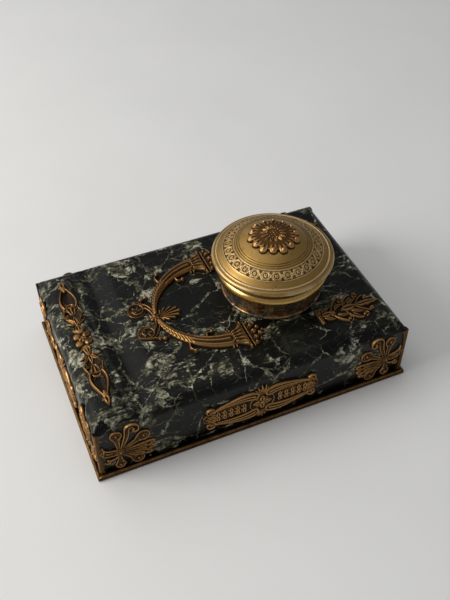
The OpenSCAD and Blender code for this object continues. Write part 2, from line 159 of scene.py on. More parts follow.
class Relief:
    """A cast mount as heights above its ground on a regular grid. What stays below 0 isn't cast."""

    # How steeply a wall may rise, and the height of a usual casting
    WALL, TALL = 2.4, 2.2

    def __init__(self, x0, x1, y0, y1, fold_x=False, fold_y=False, step=GRID):
        self.step = step
        self.gx, self.gy = np.meshgrid(np.arange(x0, x1 + step, step), np.arange(y0, y1 + step, step))
        self.x = np.abs(self.gx) if fold_x else self.gx
        self.y = np.abs(self.gy) if fold_y else self.gy
        self.h = np.full(self.x.shape, -1.0)

    def _window(self, path, reach):
        low, high = path.min(0) - reach, path.max(0) + reach
        return (self.x > low[0]) & (self.x < high[0]) & (self.y > low[1]) & (self.y < high[1])

    def along(self, path, reach):
        """Points near a path: where they are, how far away, how far along it and on which side."""
        near = self._window(path, reach)
        x, y = self.x[near], self.y[near]
        steps = np.diff(path, axis=0)
        lengths = np.hypot(steps[:, 0], steps[:, 1]) + 1e-9
        total = lengths.sum()
        away = np.full(x.shape, 1e9)
        along, side = np.zeros(x.shape), np.ones(x.shape)
        done = 0.0
        for (ax, ay), (dx, dy), length in zip(path[:-1], steps, lengths):
            t = np.clip(((x - ax) * dx + (y - ay) * dy) / length ** 2, 0, 1)
            px, py = x - ax - t * dx, y - ay - t * dy
            d = np.hypot(px, py)
            closer = d < away
            away = np.where(closer, d, away)
            along = np.where(closer, (done + t * length) / total, along)
            side = np.where(closer, np.sign(dx * py - dy * px), side)
            done += length
        return near, away, along, side, total

    def stroke(self, path, width, top, shape="round", pitch=0.0):
        """A strand along a path. width is the half-width at its start and end, or a function of 0..1.
        top is its height, one value or a function. shape is its section, and pitch spaces leaf veins,
        or beads if it is below 0."""
        path = np.asarray(path, float)
        half = width if callable(width) else lambda s: width[0] + (width[1] - width[0]) * s
        high = top if callable(top) else lambda s: top + 0 * s
        reach = float(np.max(half(np.linspace(0, 1, 20)))) + 1
        near, away, s, side, total = self.along(path, reach)
        w = np.maximum(half(s), 0.05)
        t = np.clip(away / w, 0, 1.5)
        level = {
            "round": lambda: 1 - 0.42 * t ** 2,
            "rib": lambda: 0.62 + 0.38 * np.exp(-(t / 0.28) ** 2),
            "groove": lambda: 0.95 - 0.3 * t ** 2 - 0.4 * np.exp(-(t / 0.22) ** 2),
            "reed": lambda: 0.78 - 0.2 * t ** 2 + 0.2 * np.cos(3 * math.pi * t * side),
            "flat": lambda: 1 + 0 * t,
        }[shape]()
        h = high(s) * level
        if pitch > 0:
            h = h * (0.72 + 0.28 * np.abs(np.cos(math.pi * (s * total - 0.9 * away) / pitch)))
        if pitch < 0:
            h = h * (0.45 + 0.55 * np.sqrt(np.abs(np.sin(math.pi * s * total / -pitch))))
        h = np.minimum(h, self.WALL * (w - away))
        self.h[near] = np.maximum(self.h[near], h)

    def disc(self, x, y, r, top, shape="round", petals=0):
        """A round boss, or a flower with that many petals."""
        near = self._window(np.array([[x, y]], float), r + 1)
        dx, dy = self.x[near] - x, self.y[near] - y
        d = np.hypot(dx, dy)
        turn = np.arctan2(dy, dx)
        edge = r * (1 if not petals else 0.8 + 0.2 * np.abs(np.cos(petals * turn / 2)))
        t = d / edge
        level = 1 + 0 * t if shape == "flat" else np.sqrt(np.clip(1 - 0.75 * t ** 2, 0, 1))
        if petals:
            level = level * (0.6 + 0.4 * np.abs(np.cos(petals * turn / 2)) ** 0.6)
        h = np.minimum(top * level, self.WALL * (edge - d))
        self.h[near] = np.maximum(self.h[near], h)

    def ring(self, x, y, r, half, top):
        self.stroke(arc(x, y, r, 0, 360, 40), (half, half), top)

    def bead(self, x, y, r, top):
        self.disc(x, y, r, top)

    def leaf(self, path, half, top, veins=0.0, lobes=0):
        """A leaf that swells and comes to a point: grooved, or with a midrib and veins that far apart."""
        def width(s):
            w = half * np.sin(math.pi * np.clip(s, 0.02, 1) ** 0.72) ** 0.8 + 0.12
            return w * (0.84 + 0.16 * np.abs(np.cos(lobes * math.pi * s))) if lobes else w
        self.stroke(path, width, top, "rib" if veins else "groove", pitch=veins)

    def scroll(self, x, y, r, start, turn, half=0.7, top=1.9, eye=0.9):
        """A C-scroll that winds into an eye: it begins at angle start and turns by turn degrees."""
        self.stroke(spiral((x, y), r - half, eye * 0.9, start, start + turn), (half, half * 0.75), top)
        self.bead(x, y, eye, top + 0.15)

    def stipple(self, low, high, pitch=0.85, depth=0.14):
        """Punched dots on the ground between two heights."""
        dots = np.cos(2 * math.pi * self.x / pitch) * np.cos(2 * math.pi * self.y / pitch)
        level = (self.h > low) & (self.h < high)
        self.h = np.where(level, self.h + depth * dots, self.h)

    def cut(self, base=None, sink=0.3):
        """Points, faces, and the level of rubbing, dirt and painted shade at each point, of the closed
        casting over a ground (flat at 0, or base(x, y)).
        """
        h, step = self.h, self.step
        # What stands out from its surroundings is worn bright, and what lies low among them is darkened, as
        # dirt and as painted shade in the hollows
        ground = np.maximum(h, -0.2)
        hollow = 0.6 * (ground - blur(ground, 0.55 / step)) + 0.4 * (ground - blur(ground, 1.3 / step))
        depth = np.clip((h - 0.45 * self.TALL) / self.TALL, -0.4, 0.4)
        wear_and_shade = np.clip(0.46 + hollow / 0.7 + 0.55 * depth, 0, 1)
        corners = [h[:-1, :-1], h[:-1, 1:], h[1:, 1:], h[1:, :-1]]
        cells = np.maximum.reduce(corners) > 0
        rows, columns = np.nonzero(cells)
        wide = h.shape[1]
        first = rows * wide + columns
        quads = np.stack([first, first + 1, first + wide + 1, first + wide], 1)
        used, where = np.unique(quads, return_inverse=True)
        quads = where.reshape(-1, 4)
        flat = np.stack([self.gx.ravel()[used], self.gy.ravel()[used], h.ravel()[used]], 1)
        mesh = bpy.data.meshes.new("cut")
        mesh.from_pydata(flat.tolist(), [], quads.tolist())
        layer = mesh.attributes.new("wear_and_shade", "FLOAT", "POINT")
        layer.data.foreach_set("value", wear_and_shade.ravel()[used].astype(np.float32))
        bm = bmesh.new()
        bm.from_mesh(mesh)
        bpy.data.meshes.remove(mesh)
        bmesh.ops.bisect_plane(bm, geom=bm.verts[:] + bm.edges[:] + bm.faces[:], dist=1e-5,
                               plane_co=(0, 0, 0), plane_no=(0, 0, 1), clear_inner=True)
        loose = [v for v in bm.verts if not v.link_faces]
        bmesh.ops.delete(bm, geom=loose, context="VERTS")
        bm.verts.index_update()
        value = bm.verts.layers.float["wear_and_shade"]
        top = np.array([v.co for v in bm.verts])
        worn = np.array([v[value] for v in bm.verts])
        faces = [[v.index for v in f.verts] for f in bm.faces]
        rim = [(e.link_loops[0].vert.index, e.link_loops[0].link_loop_next.vert.index)
               for e in bm.edges if len(e.link_faces) == 1]
        bm.free()
        lift = base(top[:, 0], top[:, 1]) if base else 0
        under = top.copy()
        top[:, 2] += lift
        under[:, 2] = lift - sink
        n = len(top)
        faces = faces + [[i + n for i in reversed(f)] for f in faces]
        faces += [[b, a, a + n, b + n] for a, b in rim]
        return np.vstack([top, under]), faces, np.concatenate([worn, np.zeros(n)])


def place(name, node, cast, matrix, offset, material):
    """Stands a casting on the stand. A matrix that mirrors it also turns its faces over."""
    points, faces, wear_and_shade = cast
    matrix = np.array(matrix, float)
    if np.linalg.det(matrix) < 0:
        faces = [f[::-1] for f in faces]
    points = points @ matrix.T + np.array(offset, float)
    piece(name, points, faces, "stand", material, node, wear_and_shade)


# ---------------------------------------------------------------- materials

class Paint:
    """A node material with one Principled shader; its helpers add nodes and return their sockets."""

    def __init__(self, name):
        self.material = bpy.data.materials.new(name)
        self.material.use_nodes = True
        self.nodes = self.material.node_tree.nodes
        self.links = self.material.node_tree.links
        self.shader = self.nodes["Principled BSDF"]
        self.place = self.nodes.new("ShaderNodeTexCoord").outputs["Object"]

    def set(self, socket, value):
        target = self.shader.inputs[socket]
        if isinstance(value, bpy.types.NodeSocket):
            self.links.new(value, target)
        else:
            target.default_value = value

    def feed(self, node, socket, value):
        if isinstance(value, bpy.types.NodeSocket):
            self.links.new(value, node.inputs[socket])
        else:
            node.inputs[socket].default_value = value

    def node(self, kind, **inputs):
        """A new node with these inputs, by name."""
        made = self.nodes.new("ShaderNode" + kind)
        for socket, value in inputs.items():
            self.feed(made, socket, value)
        return made

    def stretch(self, scale, turn=(0, 0, 0), at=None):
        return self.node("Mapping", Vector=at or self.place, Scale=scale, Rotation=turn).outputs[0]

    def noise(self, scale, detail=4.0, rough=0.5, warp=0.0, at=None, output=0):
        made = self.node("TexNoise", Vector=at or self.place, Scale=scale, Detail=detail,
                         Roughness=rough, Distortion=warp)
        return made.outputs[output]

    def cell_edge(self, scale, at):
        """Distance to the nearest edge between cells, in cell sizes."""
        made = self.node("TexVoronoi", Vector=at, Scale=scale)
        made.feature = "DISTANCE_TO_EDGE"
        return made.outputs["Distance"]

    def cell_colour(self, scale, at):
        return self.node("TexVoronoi", Vector=at, Scale=scale).outputs["Color"]

    def axes(self):
        """The place's three coordinates, in metres."""
        return self.node("SeparateXYZ", Vector=self.place).outputs

    def math(self, kind, a, b, clamp=False):
        made = self.node("Math")
        made.operation = kind
        made.use_clamp = clamp
        self.feed(made, 0, a)
        self.feed(made, 1, b)
        return made.outputs[0]

    def add(self, a, b, clamp=False):
        return self.math("ADD", a, b, clamp)

    def sub(self, a, b, clamp=False):
        return self.math("SUBTRACT", a, b, clamp)

    def mul(self, a, b, clamp=False):
        return self.math("MULTIPLY", a, b, clamp)

    def vector(self, kind, *values):
        made = self.node("VectorMath")
        made.operation = kind
        for k, value in enumerate(values):
            self.feed(made, k, value)
        return made

    def ramp(self, value, stops):
        node = self.nodes.new("ShaderNodeValToRGB")
        self.feed(node, "Fac", value)
        bar = node.color_ramp
        while len(bar.elements) < len(stops):
            bar.elements.new(1.0)
        for element, (at, shade) in zip(bar.elements, stops):
            element.position = at
            grey = isinstance(shade, (int, float))
            element.color = (shade, shade, shade, 1) if grey else (*shade, 1)
        return node.outputs["Color"]

    def mix(self, factor, a, b, kind="MIX"):
        node = self.nodes.new("ShaderNodeMix")
        node.data_type = "RGBA"
        node.blend_type = kind
        self.feed(node, 0, factor)
        for socket, value in ((6, a), (7, b)):
            plain = isinstance(value, tuple) and len(value) == 3
            self.feed(node, socket, (*value, 1) if plain else value)
        return node.outputs[2]

    def shift(self, amount, scale, at=None):
        """Coordinates pushed about by noise, amount in metres."""
        cloud = self.noise(scale, 3.0, at=at, output="Color")
        centred = self.vector("SUBTRACT", cloud, (0.5, 0.5, 0.5)).outputs[0]
        return self.vector("MULTIPLY_ADD", centred, (amount, amount, amount), at or self.place).outputs[0]

    def attribute(self, name):
        node = self.nodes.new("ShaderNodeAttribute")
        node.attribute_name = name
        return node.outputs["Fac"]

    def bump(self, height, strength, distance):
        node = self.nodes.new("ShaderNodeBump")
        node.inputs["Strength"].default_value = strength
        node.inputs["Distance"].default_value = distance
        self.links.new(height, node.inputs["Height"])
        self.links.new(node.outputs[0], self.shader.inputs["Normal"])


# Places in the marble that are paler, and calmer, than the rest: each (x, y, z, reach) in millimetres
# The pale place at (-8, -101, 40), on the front face's top edge, is a painted glint
PALE_AND_GLINT_SPOTS = ((-48, -47, 46, 16), (-22, -39, 46, 14), (38, -50, 46, 15), (67, 57, 38, 15), (65, -60, 8, 14),
              (-8, -101, 40, 11), (-50, 4, 46, 13), (-35, 84, 46, 13), (36, 72, 46, 12), (40, 16, 46, 12))
# The calm places in the trough, at y = -63, and on the +X face, at x = 66, are painted shade
CALM_AND_SHADE_SPOTS = ((-30, -63, 44, 34), (25, -63, 44, 16), (66, -35, 26, 34), (0, -8, 46, 22), (50, 46, 46, 24),
              (45, -92, 44, 16), (66, -85, 24, 20))


def marble_material():
    """Dark green breccia: near-black angular pieces, broken pale veins, streaky grey-green patches.
    It is busiest towards the trough end and the +X side, and calmest round the well. Painted shade makes it
    calmer and darker down the upright faces."""
    p = Paint("veined_marble")
    at_x, at_y, at_z = p.axes()
    bent = p.shift(0.011, 42)
    warped = p.shift(0.004, 160, at=bent)
    jagged = p.shift(0.0018, 430, at=warped)
    slanted = p.stretch((1.35, 0.75, 1.0), (0.3, 0.2, 0.5), at=jagged)

    def near(spots):
        """1 at the nearest of these places, and 0 at its reach."""
        level = 0.0
        for x, y, z, reach in spots:
            away = p.vector("DISTANCE", bent, (x * MM, y * MM, z * MM)).outputs["Value"]
            close = p.sub(1.0, p.math("DIVIDE", away, reach * MM), clamp=True)
            level = p.math("MAXIMUM", close, level)
        return level

    # Paler near the pale places; the one on the front face's top edge is a painted glint
    pale_and_glint = near(PALE_AND_GLINT_SPOTS)
    drift = p.add(p.mul(at_y, -2.4), p.mul(at_x, 1.8))
    # Painted shade: the marble is calmer and darker down the upright faces than on the top
    upright = p.mul(p.sub(at_z, TOP_H * MM), 11.0)
    drift = p.add(drift, upright)
    # Painted shade: calmer, darker marble in the trough and on the +X face
    drift = p.sub(drift, p.mul(near(CALM_AND_SHADE_SPOTS), 0.8))
    drift = p.add(drift, p.mul(pale_and_glint, 0.3))
    busy = p.ramp(p.add(p.noise(16, 3.0, 0.55), drift), [(0.38, 0.0), (0.76, 1.0)])

    def line(scale, at, width):
        """1 on the edges between cells of that many per metre, within width millimetres."""
        away = p.mul(p.cell_edge(scale, at), 1000.0 / scale)
        return p.add(p.mul(p.sub(width, away), 4.5), 0.5, clamp=True)

    def gate(scale, low, high, peak):
        """Lets a layer show in some places only."""
        return p.ramp(p.noise(scale, 4.0, 0.6), [(low, 0.0), (high, peak)])

    def opened(scale, share, low, at):
        """1 in the pieces that are pale: more of them where the stone is busy."""
        chance = p.add(p.cell_colour(scale, at=at), p.mul(busy, share))
        return p.ramp(chance, [(low, 0.0), (low + 0.03, 1.0)])

    swell = p.ramp(p.noise(70, 5.0, 0.65), [(0.36, 0.0), (0.47, 0.35), (0.58, 1.0), (0.66, 3.0)])
    main = p.mul(line(30, jagged, p.sub(swell, 0.06)), gate(24, 0.36, 0.42, 1.0))
    streaked = p.shift(0.007, 90, at=p.stretch((1.9, 0.45, 1.2), (0.15, 0.3, -0.25)))
    feather = p.noise(165, 12.0, 0.76, 1.0, at=streaked)
    thin = p.sub(p.mul(swell, p.add(p.mul(busy, 1.35), 0.25)), 0.05)
    torn = p.ramp(feather, [(0.42, 0.3), (0.47, 1.0)])
    second = p.mul(p.mul(line(80, slanted, thin), torn), gate(30, 0.40, 0.50, 0.95))
    hair = p.mul(line(150, warped, 0.03), gate(55, 0.52, 0.60, 0.6))
    large = p.mul(opened(55, 0.26, 0.84, slanted), p.ramp(feather, [(0.485, 0.0), (0.52, 1.0)]))
    small = p.mul(opened(120, 0.24, 0.88, warped), p.ramp(feather, [(0.49, 0.0), (0.52, 1.0)]))
    streak = p.mul(p.ramp(feather, [(0.58, 0.0), (0.61, 0.9)]), busy)
    block = p.add(p.mul(pale_and_glint, 0.8), p.mul(p.cell_colour(125, at=warped), 0.7))
    block = p.mul(p.ramp(block, [(0.80, 0.0), (0.82, 1.0)]), p.ramp(feather, [(0.45, 0.0), (0.49, 1.0)]))
    cover = main
    for layer in (second, hair, large, small, streak, block):
        cover = p.math("MAXIMUM", cover, layer)
    broken = p.ramp(p.noise(560, 6.0, 0.75), [(0.42, 0.15), (0.49, 1.0)])
    cover = p.mul(cover, broken, clamp=True)
    dark = p.ramp(p.noise(70, 7.0, 0.68, 0.5, at=warped),
                  [(0.36, (0.0010, 0.0011, 0.0009)), (0.54, (0.0030, 0.0033, 0.0024)),
                   (0.72, (0.012, 0.013, 0.008))])
    tone = p.ramp(p.cell_colour(30, at=jagged), [(0.3, 0.5), (0.9, 2.2)])
    dark = p.mix(1.0, dark, tone, "MULTIPLY")
    lightness = p.add(p.noise(150, 8.0, 0.72, 0.6), p.mul(busy, 0.02))
    pale = p.ramp(p.add(lightness, p.mul(block, 0.03)),
                  [(0.38, (0.018, 0.019, 0.010)), (0.47, (0.070, 0.071, 0.038)), (0.54, (0.22, 0.21, 0.137)),
                   (0.63, (0.52, 0.50, 0.39))])
    p.set("Base Color", p.mix(cover, dark, pale))
    pits = p.noise(700, 6.0, 0.75)
    dull = p.add(p.mul(cover, 0.35), p.mul(pits, 0.6))
    p.set("Roughness", p.ramp(dull, [(0.2, 0.26), (0.75, 0.48)]))
    p.set("Specular IOR Level", 0.17)
    height = p.add(p.mul(pits, 0.5), p.mul(cover, 0.6))
    p.bump(height, 0.9, 0.0003)
    return p.material


def bronze_material(name, dark, mid, bright):
    """Cast metal: dirt and painted shade in the hollows, worn bright edges, blotchy patina. Reads the
    attribute that carries the rubbing, the dirt and the painted shade.
    """
    p = Paint(name)
    wear_and_shade = p.attribute("wear_and_shade")
    cloud = p.noise(210, 8.0, 0.7)
    grit = p.noise(1100, 4.0, 0.7)
    level = p.add(wear_and_shade, p.mul(p.sub(cloud, 0.5), 0.5))
    level = p.add(level, p.mul(p.sub(grit, 0.5), 0.35))
    p.set("Base Color", p.ramp(level, [(0.30, dark), (0.50, mid), (0.66, mid), (0.92, bright)]))
    p.set("Metallic", p.ramp(level, [(0.25, 0.55), (0.5, 1.0)]))
    p.set("Roughness", p.ramp(level, [(0.30, 0.66), (0.9, 0.36)]))
    p.bump(p.add(grit, cloud), 0.6, 0.00012)
    return p.material


def brass_material(name, dark, mid, bright, rough, dirt=0.5):
    """Turned brass with a satin lacquer gone patchy, dark spots and a fine turned grain.
    rough is its roughness where the lacquer has gone and where it is sound."""
    p = Paint(name)
    wear_and_shade = p.attribute("wear_and_shade")
    cloud = p.noise(58, 7.0, 0.66, 0.5)
    specks = p.ramp(p.noise(420, 5.0, 0.7), [(0.3, 0.0), (0.42, 1.0)])
    level = p.add(p.mul(cloud, dirt), p.mul(wear_and_shade, 0.75))
    colour = p.ramp(level, [(0.30, dark), (0.55, mid), (0.74, mid), (0.95, bright)])
    p.set("Base Color", p.mix(specks, p.mix(0.45, colour, dark), colour))
    p.set("Metallic", 1.0)
    p.set("Roughness", p.ramp(p.add(cloud, p.mul(specks, -0.15)),
                              [(0.25, rough[1]), (0.75, rough[0])]))
    turned = p.noise(1100, 3.0, 0.5, at=p.stretch((0.25, 0.25, 3.0)))
    p.bump(p.add(turned, p.mul(cloud, 0.6)), 0.2, 0.00008)
    return p.material


def drum_material():
    """Brass with black lacquer worn through in patches."""
    p = Paint("drum_patina")
    patch = p.noise(120, 5.0, 0.6, 0.7, at=p.stretch((1, 1, 1.5)))
    bare = p.ramp(patch, [(0.46, 0.0), (0.56, 1.0)])
    metal = p.ramp(p.noise(300, 5.0, 0.65), [(0.3, (0.20, 0.11, 0.045)), (0.7, (0.55, 0.34, 0.15))])
    p.set("Base Color", p.mix(bare, (0.022, 0.018, 0.013), metal))
    p.set("Metallic", bare)
    p.set("Roughness", p.ramp(patch, [(0.4, 0.5), (0.65, 0.3)]))
    p.bump(p.noise(700, 5.0, 0.65), 0.3, 0.0001)
    return p.material


def hardware_material():
    p = Paint("plain_brass")
    cloud = p.noise(300, 5.0, 0.6)
    p.set("Base Color", p.ramp(cloud, [(0.3, (0.30, 0.20, 0.09)), (0.7, (0.62, 0.46, 0.22))]))
    p.set("Metallic", 1.0)
    p.set("Roughness", p.ramp(cloud, [(0.3, 0.5), (0.7, 0.3)]))
    p.bump(p.noise(1600, 3.0), 0.25, 0.00005)
    return p.material


def glass_material():
    """Pressed glass, faintly green, with a trace of ink dried on it low down."""
    p = Paint("pressed_glass")
    height = p.math("DIVIDE", p.sub(p.axes()[2], (TOP_H + LINER_FOOT) * MM), 0.014)
    level = p.add(height, p.mul(p.sub(p.noise(260, 4.0), 0.5), 0.35))
    p.set("Base Color", p.ramp(level, [(0.15, (0.10, 0.12, 0.22)), (0.5, (0.72, 0.78, 0.80)),
                                       (0.8, (0.90, 0.96, 0.93))]))
    p.set("Transmission Weight", 1.0)
    p.set("IOR", 1.5)
    p.set("Roughness", p.ramp(level, [(0.1, 0.35), (0.5, 0.06)]))
    p.bump(p.noise(160, 3.0), 0.15, 0.0002)
    return p.material


def felt_material():
    p = Paint("green_felt")
    fibre = p.noise(2600, 6.0, 0.75, 1.5)
    p.set("Base Color", p.ramp(fibre, [(0.3, (0.012, 0.035, 0.018)), (0.7, (0.045, 0.11, 0.06))]))
    p.set("Roughness", 0.95)
    p.set("Sheen Weight", 0.4)
    p.set("Sheen Roughness", 0.5)
    p.bump(fibre, 0.8, 0.0003)
    return p.material


def floor_material():
    p = Paint("pale_floor")
    cloud = p.noise(9, 4.0, 0.5)
    p.set("Base Color", p.ramp(cloud, [(0.3, (0.735, 0.73, 0.715)), (0.7, (0.765, 0.76, 0.745))]))
    p.set("Roughness", 0.45)
    p.set("Specular IOR Level", 0.3)
    return p.material


MARBLE = marble_material()
GILT = bronze_material("gilt_bronze", (0.005, 0.003, 0.0015), (0.115, 0.056, 0.017), (0.44, 0.235, 0.085))
AGED = bronze_material("aged_bronze", (0.005, 0.003, 0.0015), (0.066, 0.032, 0.0102), (0.27, 0.143, 0.051))
RAIL = bronze_material("rail_bronze", (0.008, 0.0045, 0.002), (0.075, 0.038, 0.012), (0.30, 0.165, 0.058))
LID = brass_material("lid_brass", (0.07, 0.036, 0.010), (0.33, 0.20, 0.062), (0.62, 0.47, 0.26),
                     rough=(0.58, 0.42), dirt=0.6)
COLLAR = brass_material("collar_brass", (0.11, 0.055, 0.015), (0.56, 0.350, 0.112), (0.84, 0.64, 0.33),
                        rough=(0.42, 0.24))
DRUM = drum_material()
HARDWARE = hardware_material()
GLASS = glass_material()
FELT = felt_material()


# ---------------------------------------------------------------- marble slab

# Angle of the bevel's arc; the ridge's place, width and height; the trough's edges, bottom and depth,
# all measured back from the slab's front face
BEVEL_TURN = math.radians(68)
RIDGE_Y, RIDGE_W, RIDGE_H = 18.0, 7.0, 1.8
RIDGE_R = ((RIDGE_W / 2) ** 2 + RIDGE_H ** 2) / (2 * RIDGE_H)
TROUGH_FRONT, TROUGH_LOW, TROUGH_BACK, TROUGH_D = 24.5, 31.0, 45.0, 3.0


def pillow(turn):
    """Bevel section at a turn angle: distance in from the face, and height."""
    c = math.cos(BEVEL_TURN)
    return (BEVEL_W * (1 - np.sin(turn) / math.sin(BEVEL_TURN)),
            SIDE_H + (TOP_H - SIDE_H) * (np.cos(turn) - c) / (1 - c))


def bevel_height(u):
    """Height of the top at a distance u in from the nearest face."""
    reach = np.clip(1 - u / BEVEL_W, 0, 1) * math.sin(BEVEL_TURN)
    return pillow(np.arcsin(reach))[1]


def trough(v):
    """How far the top lies below TOP_H at v from the front face; the ridge gives less than 0."""
    front = TROUGH_D * np.sin(math.pi / 2 * (v - TROUGH_FRONT) / (TROUGH_LOW - TROUGH_FRONT))
    back = TROUGH_D * np.cos(math.pi / 2 * (v - TROUGH_LOW) / (TROUGH_BACK - TROUGH_LOW)) ** 2
    inside = np.where(v < TROUGH_LOW, front, back)
    return np.where((v > TROUGH_FRONT) & (v < TROUGH_BACK), inside, 0.0)


def ridge(v):
    """How far the rounded ridge stands above TOP_H at v from the front face."""
    off = np.clip(np.abs(v - RIDGE_Y), 0, RIDGE_W / 2)
    return np.sqrt(RIDGE_R ** 2 - off ** 2) - (RIDGE_R - RIDGE_H)


def slab_top(x, y):
    """Height of the marble's top at a place."""
    v = y + HALF_L
    ends = smooth((HALF_W - BEVEL_W - np.abs(x)) / 2.5)
    run = TOP_H + ridge(v) * ends - trough(v)
    edge = np.minimum(bevel_height(HALF_W - np.abs(x)), bevel_height(HALF_L - np.abs(y)))
    return np.minimum(run, np.where(edge < TOP_H - 1e-6, edge, 99.0))


def marble_slab():
    """The slab as a fine grid over its top, with upright faces and a flat underside."""
    turns = BEVEL_TURN * (1 - np.linspace(0, 1, 15))
    inset = pillow(turns)[0]
    across = np.linspace(-HALF_W + BEVEL_W, HALF_W - BEVEL_W, 180)[1:-1]
    xs = np.concatenate([-HALF_W + inset, across, (HALF_W - inset)[::-1]])
    fine = np.arange(-HALF_L + BEVEL_W, -HALF_L + 48, 0.4)[1:]
    coarse = np.linspace(-HALF_L + 48, HALF_L - BEVEL_W, 150)[:-1]
    ys = np.concatenate([-HALF_L + inset, fine, coarse, (HALF_L - inset)[::-1]])
    gx, gy = np.meshgrid(xs, ys)
    gz = slab_top(gx, gy)
    wide, deep = len(xs), len(ys)
    points = np.stack([gx.ravel(), gy.ravel(), gz.ravel()], 1)
    faces = []
    for j in range(deep - 1):
        for i in range(wide - 1):
            a = j * wide + i
            b, c, d = a + 1, a + wide + 1, a + wide
            if (xs[i] + xs[i + 1]) * (ys[j] + ys[j + 1]) > 0:
                faces += [[a, b, c], [a, c, d]]
            else:
                faces += [[a, b, d], [b, c, d]]
    # Rings down the upright faces: the height of each, and how far in it is drawn
    loop = edge_of(wide, deep)
    levels = [(SIDE_H - 0.15, 0.0), (SIDE_H - 4, 0.0), (20.0, 0.0), (SLAB_Z + 0.6, 0.0), (SLAB_Z, 0.5)]
    rim = points[loop]
    last, n = np.array(loop), len(loop)
    for z, inward in levels:
        ring = rim.copy()
        ring[:, 0] -= np.sign(ring[:, 0]) * inward * (np.abs(ring[:, 0]) > HALF_W - 1e-6)
        ring[:, 1] -= np.sign(ring[:, 1]) * inward * (np.abs(ring[:, 1]) > HALF_L - 1e-6)
        ring[:, 2] = z
        start = len(points)
        points = np.vstack([points, ring])
        fresh = np.arange(start, start + n)
        for k in range(n):
            m = (k + 1) % n
            faces.append([last[k], fresh[k], fresh[m], last[m]])
        last = fresh
    faces.append([int(k) for k in last[::-1]])
    faces = [[int(k) for k in f] for f in faces]
    piece("slab_marble", points, faces, "stand", MARBLE, "marble_slab")


# ---------------------------------------------------------------- turned pieces

def lathe(name, profile, body, material, node, turns=192, wear_and_shade=None, displace=None):
    """A turned piece from a closed section of [radius, height] points, in order round the section.
    Points on the axis become one vertex. displace(angle, profile) gives how far each point moves out
    along its normal, and what that adds to its wear."""
    profile = np.asarray(profile, float)
    n = len(profile)
    angle = np.arange(turns) * 2 * math.pi / turns
    r = np.repeat(profile[:, :1], turns, 1)
    z = np.repeat(profile[:, 1:], turns, 1)
    worn = np.repeat((np.full(n, 0.5) if wear_and_shade is None else np.asarray(wear_and_shade))[:, None], turns, 1)
    if displace is not None:
        along = np.roll(profile, -1, 0) - np.roll(profile, 1, 0)
        along /= np.hypot(along[:, 0], along[:, 1])[:, None] + 1e-9
        push, extra = displace(angle, profile)
        r = r + along[:, 1:] * push
        z = z - along[:, :1] * push
        worn = np.clip(worn + extra, 0, 1)
    points = np.stack([r * np.cos(angle), WELL_Y + r * np.sin(angle), TOP_H + z], 2).reshape(-1, 3)
    faces = []
    for k in range(n):
        m = (k + 1) % n
        if profile[k, 0] < 1e-6 and profile[m, 0] < 1e-6:
            continue
        for a in range(turns):
            b = (a + 1) % turns
            quad = [k * turns + a, k * turns + b, m * turns + b, m * turns + a]
            if profile[k, 0] < 1e-6:
                quad = [k * turns, m * turns + b, m * turns + a]
            elif profile[m, 0] < 1e-6:
                quad = [k * turns + a, k * turns + b, m * turns]
            faces.append(quad)
    used = np.unique(np.concatenate([np.array(f) for f in faces]))
    index = np.full(len(points), -1)
    index[used] = np.arange(len(used))
    faces = [[int(index[v]) for v in f] for f in faces]
    piece(name, points[used], faces, body, material, node, worn.reshape(-1)[used])


def refined(points, spacing):
    """The same outline with more points along its straight runs."""
    points = np.asarray(points, float)
    out = []
    for a, b in zip(points[:-1], points[1:]):
        pieces = max(1, int(math.ceil(np.hypot(*(b - a)) / spacing)))
        out += [a + (b - a) * k / pieces for k in range(pieces)]
    return np.array(out + [points[-1]])


def well():
    """Foot ring, drum, collar, glass liner and the lid's flange, as [radius, height above TOP_H]."""
    foot = np.vstack([[[31.0, 0.05], [31.9, 0.05]], arc(31.4, 0.9, 0.88, -70, 90, 10), [[31.0, 1.75]]])
    lathe("foot_ring_turned", foot, "stand", DRUM, "well_foot_ring", wear_and_shade=[0.5] * len(foot))
    outer = refined([[30.6, 0.0], [31.0, 0.3], [31.0, 10.6], [30.7, 10.9], [31.0, 11.3], [31.0, 12.0]], 1.2)
    inner = [[29.5, 12.0], [29.5, 1.9], [29.1, 1.5], [3.0, 1.5], [3.0, 0.0]]
    lathe("drum_turned", np.vstack([outer, inner]), "stand", DRUM, "well_drum")
    collar = np.vstack([
        [[25.5, 12.0], [33.0, 12.0], [33.35, 12.1], [33.4, 12.5]], arc(31.2, 16.0, 4.0, -58, 66, 18),
        [[32.6, 19.9], [32.2, 20.2], [32.05, 20.7], [31.8, 21.0], [31.8, SEAT - 0.3], [31.5, SEAT],
         [28.8, SEAT], [28.5, SEAT - 0.3], [28.5, 17.0], [25.8, 17.0], [25.5, 16.7]]])
    worn = [0.62 if r > 33.2 else 0.4 for r in collar[:, 0]]
    lathe("collar_turned", collar, "stand", COLLAR, "well_collar", wear_and_shade=worn)
    liner = np.vstack([
        [[0, LINER_FOOT], [23.6, LINER_FOOT]], arc(23.8, 4.2, 1.0, -80, 0, 6), [[24.8, 16.7], [25.2, 17.0]],
        arc(27.7, 17.5, 0.5, -90, 0, 4), arc(27.7, 18.5, 0.5, 0, 90, 4),
        arc(23.4, 18.2, 0.8, 90, 180, 5), arc(20.6, 7.4, 2.0, 0, -90, 6), [[0, 5.4]]])
    lathe("liner_pressed", liner, "liner", GLASS, "glass_liner")
    flange = [[26.65, 19.5], [28.0, 19.5], [28.25, 19.8], [28.25, 23.5], [30.0, 23.5], [30.0, 25.9],
              [26.65, 25.9]]
    lathe("flange_turned", refined(flange, 1.5), "lid", LID, "lid_flange")


# ---------------------------------------------------------------- lid

